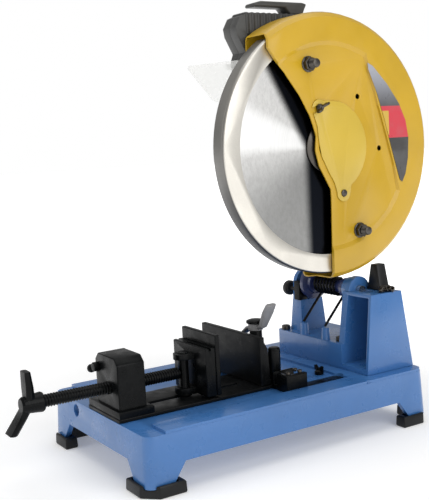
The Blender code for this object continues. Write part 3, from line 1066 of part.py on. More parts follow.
def build_ring():
    axis = (BLADE_Y, BLADE_Z)
    wall = RING_WALL
    profile = [(RING_FRONT, RING_INNER), (RING_FRONT, RING_RADIUS - 2.5 * MM), (RING_FRONT - 2.5 * MM, RING_RADIUS),
               (RING_BACK, RING_RADIUS), (RING_BACK, RING_RADIUS - wall), (RING_FRONT - 3 * MM, RING_RADIUS - wall),
               (RING_FRONT - wall, RING_RADIUS - 3.5 * MM), (RING_FRONT - wall, RING_INNER)]
    ring = to_object("lower_ring_guard", swept(profile, axis, RING_FROM, RING_TO, 48), "ring_steel")
    back = RING_BACK - 1.7 * MM
    reach = RING_RADIUS - 0.9 * MM
    rim = [(reach * math.cos(RING_ARM_ANGLE + t), reach * math.sin(RING_ARM_ANGLE + t))
           for t in (-0.16, -0.08, 0.0, 0.08, 0.16)]
    arm = hull(circle((0, 0), RING_HUB, 24) + rim)
    add(ring, prism([at_blade(p) for p in arm], "x", back, RING_BACK + 0.3 * MM))
    bore = NOSE_RADIUS + RUNNING_GAP
    cut(ring, turned([(back - 10 * MM, bore), (RING_BACK + 10 * MM, bore)], "x", axis, 32))
    turn_about(ring, (0, *axis))


# ---- handle -------------------------------------------------------------------------------------------------
def lifted(points):
    """Outline points in mm, drawn with the blade centre at HANDLE_DATUM, carried to BLADE_Z, in metres."""
    rise = BLADE_Z - HANDLE_DATUM
    return [(across * MM, height * MM + rise) for across, height in points]


def build_handle():
    outline = [(322, 500.0), (377, 500.0), (380, 560), (380, 608), (368, 622), (262, 622), (247, 616),
               (239, 602), (241, 590), (254, 566), (250, 556), (251, 541), (262, 538), (290, 520)]
    opening = [(266, 588), (346, 590), (346, 540), (330, 530), (312, 530), (292, 550)]
    scaled = lifted(outline)
    hole = lifted(opening)
    pocket = lifted([(276, 584), (318, 584), (318, 606), (276, 606)])
    pivot, button_place = lifted([(312, 598), (336, 606)])
    for name, low, high in (("handle_shell_left", HANDLE_LEFT, HANDLE_SPLIT - GAP / 2),
                            ("handle_shell_right", HANDLE_SPLIT + GAP / 2, HANDLE_RIGHT)):
        shell = to_object(name, prism(scaled, "x", low, high), "black_plastic")
        cut(shell, prism(hole, "x", HANDLE_LEFT - 10 * MM, HANDLE_RIGHT + 10 * MM))
        cut(shell, prism(pocket, "x", HANDLE_SPLIT - 8 * MM, HANDLE_SPLIT + 8 * MM))
        cut(shell, turned([(HANDLE_LEFT - 5 * MM, VISOR_PIN_RADIUS + RUNNING_GAP),
                           (HANDLE_RIGHT + 5 * MM, VISOR_PIN_RADIUS + RUNNING_GAP)], "x",
                          (VISOR_PIN_Y, VISOR_PIN_Z), 16))
        if name.endswith("left"):
            cut(shell, turned([(HANDLE_LEFT - 5 * MM, 5.3 * MM), (HANDLE_SPLIT - 4 * MM, 5.3 * MM)], "x",
                              button_place, 16))
    lever = [(283, 600), (281, 585), (285, 578), (292, 574), (298, 578), (306, 588), (316, 593), (316, 602),
             (300, 600.5)]
    trigger = to_object("trigger", prism(lifted(lever), "x", HANDLE_SPLIT - 7.2 * MM,
                                         HANDLE_SPLIT + 7.2 * MM), "orange_plastic")
    turn_about(trigger, (HANDLE_SPLIT, *pivot))
    button = to_object("lock_off_button", turned(
        [(HANDLE_LEFT - 4 * MM, 3.5 * MM), (HANDLE_LEFT - 3 * MM, 5 * MM), (HANDLE_LEFT + 6 * MM, 5 * MM)], "x",
        button_place, 16), "orange_plastic")
    turn_about(button, (HANDLE_LEFT, *button_place))
    low = GRIP_TOP + 9 * MM
    bar = [(276 * MM, CARRY_TOP - CARRY_THICK), (332 * MM, CARRY_TOP - CARRY_THICK), (340 * MM, GRIP_TOP + GAP),
           (364 * MM, GRIP_TOP + GAP), (368 * MM, low), (372 * MM, CARRY_TOP - 2 * MM), (364 * MM, CARRY_TOP),
           (288 * MM, CARRY_TOP), (277 * MM, CARRY_TOP - 3 * MM)]
    carry = to_object("carry_bar", prism(bar, "x", HANDLE_LEFT + 4 * MM, HANDLE_RIGHT - 4 * MM), "black_plastic")
    bevel(carry, 1.5 * MM)


def build_visor():
    outline = [(-104, 556), (-99, 560), (34, 555), (38, 551), (38, 520), (20, 500), (-28, 500), (-36, 503)]
    visor = to_object("chip_visor", prism(lifted(outline), "y", VISOR_Y, VISOR_Y + VISOR_THICK), "clear")
    z = (VISOR_PIN_Z - 4 * MM, VISOR_PIN_Z + 4 * MM)
    y = (VISOR_Y + 1 * MM, VISOR_PIN_Y + 4 * MM)
    add(visor, box((HANDLE_LEFT - 5 * MM, HANDLE_LEFT - GAP), y, z))
    add(visor, box((HANDLE_RIGHT + GAP, HANDLE_RIGHT + 2.4 * MM), y, z))
    add(visor, turned([(HANDLE_LEFT - 3 * MM, VISOR_PIN_RADIUS), (HANDLE_RIGHT + 2.0 * MM, VISOR_PIN_RADIUS)], "x",
                      (VISOR_PIN_Y, VISOR_PIN_Z), 16))
    turn_about(visor, (0, VISOR_PIN_Y, VISOR_PIN_Z))


def centre_on_footprint():
    """Shift everything so that the origin is under the middle of the saw's outline."""
    bpy.context.view_layer.update()
    graph = bpy.context.evaluated_depsgraph_get()
    low = Vector((math.inf,) * 3)
    high = -low
    for item in bpy.context.scene.objects:
        if item.hide_render or item.type != "MESH":
            continue
        shown = item.evaluated_get(graph)
        for vertex in shown.data.vertices:
            place = shown.matrix_world @ vertex.co
            low = Vector(map(min, low, place))
            high = Vector(map(max, high, place))
    shift = -(low + high) / 2
    for item in bpy.context.scene.objects:
        item.location += Vector((shift.x, shift.y, -low.z))
    print("shift", shift.x, shift.y, -low.z, "size", *(high - low))


def main():
    clear_scene()
    build_base()
    build_feet()
    build_bed()
    build_screw_block()
    build_screw()
    build_jaw()
    build_fence()
    build_stand()
    build_pivot()
    build_stand_top()
    build_gearbox()
    build_motor()
    build_arm()
    build_guard()
    build_cover()
    build_ring()
    build_handle()
    build_visor()
    centre_on_footprint()


main()
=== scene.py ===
"""Looks of a dry-cut metal chop saw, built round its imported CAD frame."""

import json
import logging
import math
from dataclasses import dataclass
from enum import Enum
from typing import Callable, ClassVar, Optional, Sequence, Union

import bmesh
import bpy
from mathutils import Matrix, Vector

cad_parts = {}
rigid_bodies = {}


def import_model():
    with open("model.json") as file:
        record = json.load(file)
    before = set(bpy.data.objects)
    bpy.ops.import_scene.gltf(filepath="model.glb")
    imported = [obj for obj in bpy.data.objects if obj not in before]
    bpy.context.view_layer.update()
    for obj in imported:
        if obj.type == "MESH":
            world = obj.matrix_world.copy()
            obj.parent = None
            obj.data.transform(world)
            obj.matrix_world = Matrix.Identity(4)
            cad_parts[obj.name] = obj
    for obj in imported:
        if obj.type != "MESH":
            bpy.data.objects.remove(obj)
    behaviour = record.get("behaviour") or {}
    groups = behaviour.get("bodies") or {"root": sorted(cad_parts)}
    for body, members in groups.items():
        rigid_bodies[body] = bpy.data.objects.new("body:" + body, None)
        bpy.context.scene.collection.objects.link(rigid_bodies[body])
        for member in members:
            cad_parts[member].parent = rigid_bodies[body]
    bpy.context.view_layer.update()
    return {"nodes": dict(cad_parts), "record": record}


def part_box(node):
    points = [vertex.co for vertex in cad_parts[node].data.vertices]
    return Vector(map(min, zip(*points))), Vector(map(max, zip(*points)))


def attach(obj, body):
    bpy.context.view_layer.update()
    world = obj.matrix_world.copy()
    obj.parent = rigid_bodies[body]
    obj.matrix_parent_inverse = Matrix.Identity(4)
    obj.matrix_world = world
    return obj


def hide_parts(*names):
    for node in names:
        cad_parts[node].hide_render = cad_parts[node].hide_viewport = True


for leftover in list(bpy.data.objects):
    bpy.data.objects.remove(leftover)
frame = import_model()

LOG = logging.getLogger("chop_saw")
MM = 0.001
MERGE = 0.02 * MM
COARSE_MERGE = 0.2 * MM
DOUBLES = 0.005 * MM
FLAT_ANGLE = 0.8
Point = tuple[float, float, float]
Number = Union[int, float]
Operand = Union["Wire", Number]
Piece = bpy.types.Object
Material = bpy.types.Material
BODY_OF = {node: body for body, nodes in frame["record"]["behaviour"]["bodies"].items() for node in nodes}


class Axis(Enum):
    """The direction that a turned piece stands along."""

    X = "x"
    Y = "y"
    Z = "z"

    def matrix(self) -> Matrix:
        """Returns the turn that lays the z axis along this one."""
        if self is Axis.X:
            return Matrix(((0, 0, 1), (1, 0, 0), (0, 1, 0))).to_4x4()
        if self is Axis.Y:
            return Matrix(((0, 1, 0), (0, 0, 1), (1, 0, 0))).to_4x4()
        return Matrix.Identity(4)


# ---- shader building -----------------------------------------------------------------


class Wire:
    """A shader socket that takes part in arithmetic."""

    def __init__(self, board: "Board", socket: bpy.types.NodeSocket) -> None:
        """Keeps the socket and the board it belongs to."""
        self.board = board
        self.socket = socket

    def _math(self, operation: str, *values: Operand) -> "Wire":
        """Adds one Math node.

        Args:
            operation: the Math node's operation.
            values: its inputs in order.

        Returns:
            The node's result.
        """
        return self.board.node("ShaderNodeMath", {"operation": operation}, dict(enumerate(values)))

    def __add__(self, other: Operand) -> "Wire":
        """Returns self + other."""
        return self._math("ADD", self, other)

    def __radd__(self, other: Number) -> "Wire":
        """Returns other + self."""
        return self._math("ADD", other, self)

    def __sub__(self, other: Operand) -> "Wire":
        """Returns self - other."""
        return self._math("SUBTRACT", self, other)

    def __rsub__(self, other: Number) -> "Wire":
        """Returns other - self."""
        return self._math("SUBTRACT", other, self)

    def __mul__(self, other: Operand) -> "Wire":
        """Returns self * other."""
        return self._math("MULTIPLY", self, other)

    def __rmul__(self, other: Number) -> "Wire":
        """Returns other * self."""
        return self._math("MULTIPLY", other, self)

    def __truediv__(self, other: Operand) -> "Wire":
        """Returns self / other."""
        return self._math("DIVIDE", self, other)

    def high(self, other: Operand) -> "Wire":
        """Returns the larger of the two."""
        return self._math("MAXIMUM", self, other)

    def root(self) -> "Wire":
        """Returns the square root."""
        return self._math("SQRT", self)

    def step(self, start: Operand, end: Operand) -> "Wire":
        """Rises smoothly from 0 to 1.

        Args:
            start: where it leaves 0.
            end: where it reaches 1.

        Returns:
            The smooth step.
        """
        return self.board.node("ShaderNodeMapRange", {"interpolation_type": "SMOOTHSTEP"},
                               {"Value": self, "From Min": start, "From Max": end}, "Result")


Value = Union[Wire, Number, Sequence[float]]


class Board:
    """One material's node tree."""

    def __init__(self, name: str) -> None:
        """Makes an empty material called name."""
        self.material = bpy.data.materials.new(name)
        self.material.use_nodes = True
        self.tree = self.material.node_tree
        self.tree.nodes.clear()
        self.place = self.node("ShaderNodeTexCoord", out="Object")

    def node(self, kind: str, settings: Optional[dict] = None, inputs: Optional[dict] = None,
             out: Union[str, int] = 0) -> Wire:
        """Adds a node.

        Args:
            kind: the node's type name.
            settings: properties set first.
            inputs: socket values or wires, by name or number.
            out: the output wanted.

        Returns:
            A wire from that output.
        """
        made = self.tree.nodes.new(kind)
        for name, value in (settings or {}).items():
            setattr(made, name, value)
        for name, value in (inputs or {}).items():
            if isinstance(value, Wire):
                self.tree.links.new(value.socket, made.inputs[name])
            else:
                made.inputs[name].default_value = value
        return Wire(self, made.outputs[out])

    def axis(self, name: str) -> Wire:
        """Returns one object coordinate, in metres."""
        return self.node("ShaderNodeSeparateXYZ", inputs={0: self.place}, out=name.upper())

    def stretched(self, scale: Sequence[float]) -> Wire:
        """Returns the object coordinates times a scale on each axis."""
        return self.node("ShaderNodeMapping", inputs={"Vector": self.place, "Scale": scale}, out="Vector")

    def noise(self, scale: float, detail: float = 2.0, rough: float = 0.5,
              where: Optional[Wire] = None) -> Wire:
        """Adds a noise.

        Args:
            scale: lumps in a metre.
            detail: octaves.
            rough: how strong the finer octaves are.
            where: coordinates, the object's own unless given.

        Returns:
            A value about 0.5.
        """
        return self.node("ShaderNodeTexNoise", inputs={"Vector": where or self.place, "Scale": scale,
                                                       "Detail": detail, "Roughness": rough})

    def cells(self, scale: float) -> Wire:
        """Returns a Voronoi distance with that many cells in a metre."""
        return self.node("ShaderNodeTexVoronoi", {"feature": "F1"}, {"Vector": self.place, "Scale": scale},
                         "Distance")

    def blend(self, factor: Value, first: Value, second: Value) -> Wire:
        """Mixes two colours.

        Args:
            factor: 0 for the first, 1 for the second.
            first: a colour.
            second: a colour.

        Returns:
            The mixed colour.
        """
        def colour(value: Value) -> Value:
            """Gives a plain colour its alpha."""
            return value if isinstance(value, Wire) else (*value, 1.0)
        return self.node("ShaderNodeMix", {"data_type": "RGBA", "blend_type": "MIX"},
                         {0: factor, 6: colour(first), 7: colour(second)}, 2)

    def bump(self, height: Wire, depth: float, under: Optional[Wire] = None) -> Wire:
        """Returns a normal raised by height times depth, in metres."""
        inputs: dict = {"Strength": 1.0, "Distance": depth, "Height": height}
        if under is not None:
            inputs["Normal"] = under
        return self.node("ShaderNodeBump", inputs=inputs)

    def finish(self, colour: Value, roughness: Value, normal: Optional[Wire] = None,
               **constants: Value) -> Material:
        """Ends the tree in a Principled shader.

        Args:
            colour: base colour.
            roughness: roughness.
            normal: bumped normal.
            constants: other sockets, with underscores for spaces.

        Returns:
            The material.
        """
        inputs: dict = {"Roughness": roughness}
        inputs["Base Color"] = colour if isinstance(colour, Wire) else (*colour, 1.0)
        if normal is not None:
            inputs["Normal"] = normal
        for name, value in constants.items():
            inputs[name.replace("_", " ")] = value
        shader = self.node("ShaderNodeBsdfPrincipled", inputs=inputs)
        self.node_out(shader)
        return self.material

    def node_out(self, shader: Wire) -> None:
        """Joins a shader to the material's output."""
        output = self.tree.nodes.new("ShaderNodeOutputMaterial")
        self.tree.links.new(shader.socket, output.inputs["Surface"])


# ---- finishes ------------------------------------------------------------------------


@dataclass(frozen=True)
class Finish:
    """A surface finish for one of the record's material slots."""

    slot: str
    colour: Point
    roughness: float = 0.4

    made: ClassVar[dict] = {}

    def build(self, board: Board) -> Material:
        """Fills the node tree; each finish has its own."""
        raise NotImplementedError

    def material(self) -> Material:
        """Returns the material, made once."""
        key = (type(self).__name__, self)
        if key not in self.made:
            self.made[key] = self.build(Board(f"{self.slot}_{len(self.made):02d}"))
        return self.made[key]

    def toned(self, board: Board, amount: float, scale: float = 9.0) -> Wire:
        """Varies the colour in soft clouds.

        Args:
            board: the tree.
            amount: share by which the colour goes up and down.
            scale: clouds in a metre.

        Returns:
            The colour.
        """
        darker = tuple(c * (1 - amount) for c in self.colour)
        lighter = tuple(min(1.0, c * (1 + amount)) for c in self.colour)
        return board.blend(board.noise(scale, 3.0).step(0.3, 0.7), darker, lighter)


@dataclass(frozen=True)
class Enamel(Finish):
    """Glossy sprayed paint on a casting or pressing, with orange peel, fine scuffs and a few chips."""

    peel: float = 0.00006
    casting: float = 0.0
    chips: float = 0.022
    coat: float = 0.35

    def build(self, board: Board) -> Material:
        """Builds the paint over its metal."""
        scuffs = board.noise(1.0, 3.0, 0.6, board.stretched((420, 35, 260))).step(0.62, 0.8)
        chip = 1.0 - board.cells(55).step(self.chips, self.chips + 0.02)
        chip = chip * board.noise(23, 1.0).step(0.56, 0.62)
        colour = self.toned(board, 0.07)
        colour = board.blend(scuffs * 0.05, colour, tuple(min(1.0, c * 1.6 + 0.05) for c in self.colour))
        colour = board.blend(chip * 0.35, colour, tuple(c * 0.3 for c in self.colour))
        rough = self.roughness + board.noise(40, 3.0).step(0.3, 0.7) * 0.10 + scuffs * 0.15
        height = board.noise(520, 2.0) + board.noise(160, 2.0) * 2.0
        normal = board.bump(height, self.peel)
        if self.casting:
            normal = board.bump(board.noise(60, 4.0, 0.65), self.casting, normal)
        return board.finish(colour, rough, normal, Coat_Weight=self.coat, Coat_Roughness=0.12, IOR=1.5)


@dataclass(frozen=True)
class BlackPaint(Finish):
    """Semi-gloss black paint, rubbed on its faces and a little dusty."""

    grain: float = 0.00012
    wear: float = 0.5

    def build(self, board: Board) -> Material:
        """Builds the paint with rubbed streaks."""
        rub = board.noise(1.0, 4.0, 0.65, board.stretched((60, 260, 180))).step(0.60, 0.74)
        spots = board.noise(900, 1.0).step(0.70, 0.78)
        dust = board.noise(14, 4.0, 0.6).step(0.45, 0.75)
        colour = board.blend(dust * 0.30, self.colour, tuple(c + 0.010 for c in self.colour))
        colour = board.blend(rub * (0.22 * self.wear), colour, (0.09, 0.088, 0.085))
        colour = board.blend(spots * 0.12, colour, (0.07, 0.07, 0.07))
        rough = self.roughness + board.noise(70, 3.0).step(0.3, 0.7) * 0.16 - rub * 0.06
        normal = board.bump(board.noise(330, 3.0, 0.6), self.grain)
        return board.finish(colour, rough, normal, Coat_Weight=0.05, Coat_Roughness=0.14,
                            Specular_IOR_Level=0.10)


@dataclass(frozen=True)
class Moulded(Finish):
    """Moulded plastic or rubber with a fine spark-eroded grain."""

    grain: float = 0.00006
    scale: float = 1400.0

    def build(self, board: Board) -> Material:
        """Builds the grain and faint handling marks."""
        marks = board.noise(26, 4.0, 0.6).step(0.4, 0.75)
        colour = board.blend(marks * 0.35, self.colour, tuple(min(1.0, c * 1.5 + 0.012) for c in self.colour))
        rough = self.roughness + marks * 0.12 - board.noise(300, 1.0).step(0.6, 0.8) * 0.08
        normal = board.bump(board.noise(self.scale, 2.0) + board.cells(self.scale * 0.6), self.grain)
        return board.finish(colour, rough, normal, Specular_IOR_Level=0.32)


@dataclass(frozen=True)
class BladeSteel(Finish):
    """A polished disc, ground in circles, with painted highlight sectors and a painted dark reflection band
    beside the guard's edge.
    """

    axis_y: float = 0.0
    axis_z: float = 0.0

    def build(self, board: Board) -> Material:
        """Builds the painted highlight sectors, the painted dark reflection band, the grinding rings and the
        mottled polish.
        """
        u = board.axis("y") - self.axis_y
        v = board.axis("z") - self.axis_z
        square = u * u + v * v + 1e-7
        radius = square.root()
        double_cosine = (u * u - v * v) / square
        double_sine = u * v * 2.0 / square
        sector = double_cosine * 0.914 - double_sine * 0.407
        # Painted light and shade: the disc's colour runs from dark to light by angle, standing in for the
        # sectors that a ground disc reflects.
        light = (double_cosine * 0.5 - double_sine * 0.866).step(-1.0, 0.9)
        # Painted highlight: a near-white flare sector.
        flare = sector.step(0.84, 0.98)
        rings = board.node("ShaderNodeCombineXYZ", inputs={0: radius * 2600.0, 1: sector * 1.5})
        ring = board.noise(1.0, 2.0, 0.6, rings)
        mottle = board.noise(1.0, 4.0, 0.7, board.stretched((300, 220, 120))).step(0.35, 0.7)
        colour = board.blend(light, (0.27, 0.27, 0.265), (0.72, 0.715, 0.70))
        colour = board.blend(flare * 0.85, colour, (0.97, 0.97, 0.96))
        colour = board.blend(ring.step(0.35, 0.65) * 0.16, colour, (0.22, 0.22, 0.215))
        colour = board.blend(mottle * (1.0 - flare) * 0.22, colour, (0.16, 0.155, 0.15))
        # Painted reflection: a near-black band beside the guard's free edge, standing in for the guard's dark
        # inside mirrored in the disc.
        below = (0.0 - v).high(0.0)
        above = v.high(0.0)
        left = 0.0 - (above * 0.56 + 0.037)
        right = below * 0.56 + 0.037
        dark = u.step(left - 0.010, left + 0.008) * (1.0 - u.step(right - 0.008, right + 0.010))
        colour = board.blend(dark, colour, (0.006, 0.007, 0.010))
        rough = 0.30 + ring * 0.08 + mottle * 0.06 - dark * 0.14
        normal = board.bump(ring, 0.000012)
        return board.finish(colour, rough, normal, Metallic=1.0)


@dataclass(frozen=True)
class BareMetal(Finish):
    """Bare, plated or oxidised metal with fine working marks."""

    marks: Point = (900.0, 60.0, 60.0)
    stain: float = 0.15
    depth: float = 0.00002

    def build(self, board: Board) -> Material:
        """Builds the marks, faint stains and roughness."""
        lines = board.noise(1.0, 3.0, 0.6, board.stretched(self.marks))
        blots = board.noise(18, 4.0, 0.6).step(0.4, 0.75)
        colour = self.toned(board, 0.08, 20.0)
        colour = board.blend(lines.step(0.4, 0.7) * 0.20, colour, tuple(c * 0.6 for c in self.colour))
        colour = board.blend(blots * self.stain, colour, tuple(c * 0.45 for c in self.colour))
        rough = self.roughness + lines * 0.14 + blots * 0.08 - 0.07
        return board.finish(colour, rough, board.bump(lines, self.depth), Metallic=1.0)


@dataclass(frozen=True)
class RingMetal(BareMetal):
    """Plated ring steel whose outer edge is painted dark as a painted reflection, more so towards the bottom.
    """

    axis_y: float = 0.0
    axis_z: float = 0.0
    rim: float = 184.0 * MM

    def edge(self, board: Board) -> tuple[Wire, Wire]:
        """Finds the outer edge and how far down the ring a place lies.

        Args:
            board: the tree.

        Returns:
            A mask of the edge, and a share that is 1 at the bottom.
        """
        u = board.axis("y") - self.axis_y
        v = board.axis("z") - self.axis_z
        radius = (u * u + v * v).root()
        return radius.step(self.rim, self.rim + 1.0 * MM), 1.0 - v.step(-0.10, 0.12)

    def build(self, board: Board) -> Material:
        """Builds the plated face and the painted dark reflection on the edge."""
        lines = board.noise(1.0, 3.0, 0.6, board.stretched(self.marks))
        outer, lowness = self.edge(board)
        colour = board.blend(lines.step(0.4, 0.7) * 0.12, self.toned(board, 0.06, 20.0),
                             tuple(c * 0.7 for c in self.colour))
        # Painted reflection: the outer edge is darkened, more so towards the bottom.
        colour = board.blend(outer * (0.45 + lowness * 0.5), colour, (0.07, 0.07, 0.072))
        rough = self.roughness + lines * 0.14 - 0.07
        return board.finish(colour, rough, board.bump(lines, self.depth), Metallic=1.0)


@dataclass(frozen=True)
class CastMetal(Finish):
    """Blasted or dull painted casting with a sandy skin."""

    metallic: float = 0.0
    grain: float = 0.0002

    def build(self, board: Board) -> Material:
        """Builds the sandy skin."""
        sand = board.noise(420, 3.0, 0.65)
        colour = board.blend(sand.step(0.35, 0.7) * 0.3, self.toned(board, 0.10, 16.0),
                             tuple(c * 0.6 for c in self.colour))
        rough = self.roughness + sand * 0.12
        return board.finish(colour, rough, board.bump(sand, self.grain), Metallic=self.metallic)


@dataclass(frozen=True)
class Windings(Finish):
    """Varnished copper wire in slots round a laminated core."""

    def build(self, board: Board) -> Material:
        """Builds the turns of wire."""
        turns = board.node("ShaderNodeTexWave", {"bands_direction": "X"},
                           {"Vector": board.place, "Scale": 180.0, "Distortion": 1.5})
        colour = board.blend(turns, self.colour, tuple(c * 0.35 for c in self.colour))
        return board.finish(colour, 0.3 + turns * 0.2, board.bump(turns, 0.0002), Metallic=0.8)


@dataclass(frozen=True)
class PrintedFilm(Finish):
    """A printed film in plain bands, with no lettering."""

    low_z: float = 0.0
    high_z: float = 1.0

    def build(self, board: Board) -> Material:
        """Builds the bands from bottom to top."""
        share = (board.axis("z") - self.low_z) / (self.high_z - self.low_z)
        across = board.axis("y")
        colour = board.blend(share.step(0.55, 0.98), (0.035, 0.033, 0.032), (0.33, 0.34, 0.38))
        band = share.step(0.375, 0.382) * (1.0 - share.step(0.640, 0.647))
        tab = share.step(0.40, 0.407) * (1.0 - share.step(0.60, 0.607)) * (1.0 - across.step(0.2605, 0.2610))
        colour = board.blend(band, colour, (0.55, 0.035, 0.055))
        colour = board.blend(tab, colour, (0.55, 0.36, 0.05))
        colour = board.blend(board.noise(45, 3.0).step(0.4, 0.7) * 0.12, colour, (0.2, 0.2, 0.2))
        rough = self.roughness + board.noise(90, 2.0) * 0.1
        return board.finish(colour, rough, board.bump(board.noise(700, 1.0), 0.00001), Coat_Weight=0.5)


@dataclass(frozen=True)
class ClearSheet(Finish):
    """A clear plastic sheet with a milky body, scuffed by chips."""

    def build(self, board: Board) -> Material:
        """Mixes a glossy sheet with what is behind it."""
        scuffs = board.noise(1.0, 4.0, 0.7, board.stretched((90, 300, 220))).step(0.55, 0.8)
        colour = board.blend(scuffs * 0.5, self.colour, (0.74, 0.74, 0.72))
        rough = self.roughness + scuffs * 0.25
        return board.finish(colour, rough, board.bump(scuffs, 0.00002), Alpha=0.34 + scuffs * 0.2, IOR=1.49)


class Paints:
    """Every finish of the saw, by slot."""

    BLUE = Enamel("blue_paint", (0.045, 0.158, 0.41), 0.26, 0.00005, 0.00035)
    # Painted shade: a darker copy of the blue paint for the swing arm, which sits in shadow.
    SHADED_ARM_BLUE = Enamel("blue_paint", (0.020, 0.030, 0.105), 0.26, 0.00005, 0.00035)
    YELLOW = Enamel("yellow_paint", (0.50, 0.305, 0.011), 0.28, 0.00003, 0.0, 0.02, 0.12)
    COVER = Enamel("yellow_paint", (0.53, 0.37, 0.04), 0.28, 0.00003, 0.0, 0.02, 0.12)
    BLACK = BlackPaint("black_paint", (0.0022, 0.0027, 0.0030), 0.24)
    BED = BlackPaint("black_paint", (0.0040, 0.0044, 0.0048), 0.30, 0.0001, 1.1)
    GRIP = Moulded("rubber", (0.036, 0.036, 0.035), 0.34)
    RUBBER = Moulded("rubber", (0.0045, 0.0048, 0.0055), 0.36)
    PLASTIC = Moulded("black_plastic", (0.014, 0.014, 0.015), 0.38)
    HANDLE = Moulded("black_plastic", (0.050, 0.050, 0.048), 0.34)
    ORANGE = Moulded("orange_plastic", (0.75, 0.16, 0.02), 0.38)
    STEEL = BareMetal("steel", (0.56, 0.55, 0.53), 0.24)
    DARK = BareMetal("dark_steel", (0.085, 0.078, 0.07), 0.34, (500.0, 500.0, 500.0), 0.3)
    GREY = CastMetal("grey_casting", (0.24, 0.24, 0.245), 0.42)
    ALUMINIUM = CastMetal("aluminium", (0.45, 0.46, 0.47), 0.38, 0.9, 0.0001)
    COPPER = Windings("copper", (0.45, 0.18, 0.08), 0.35)
    GRAPHIC = PrintedFilm("graphic", (0.1, 0.1, 0.1), 0.24, 0.365, 0.546)
    CLEAR = ClearSheet("clear", (0.90, 0.90, 0.87), 0.10)


# ---- modelling -----------------------------------------------------------------------


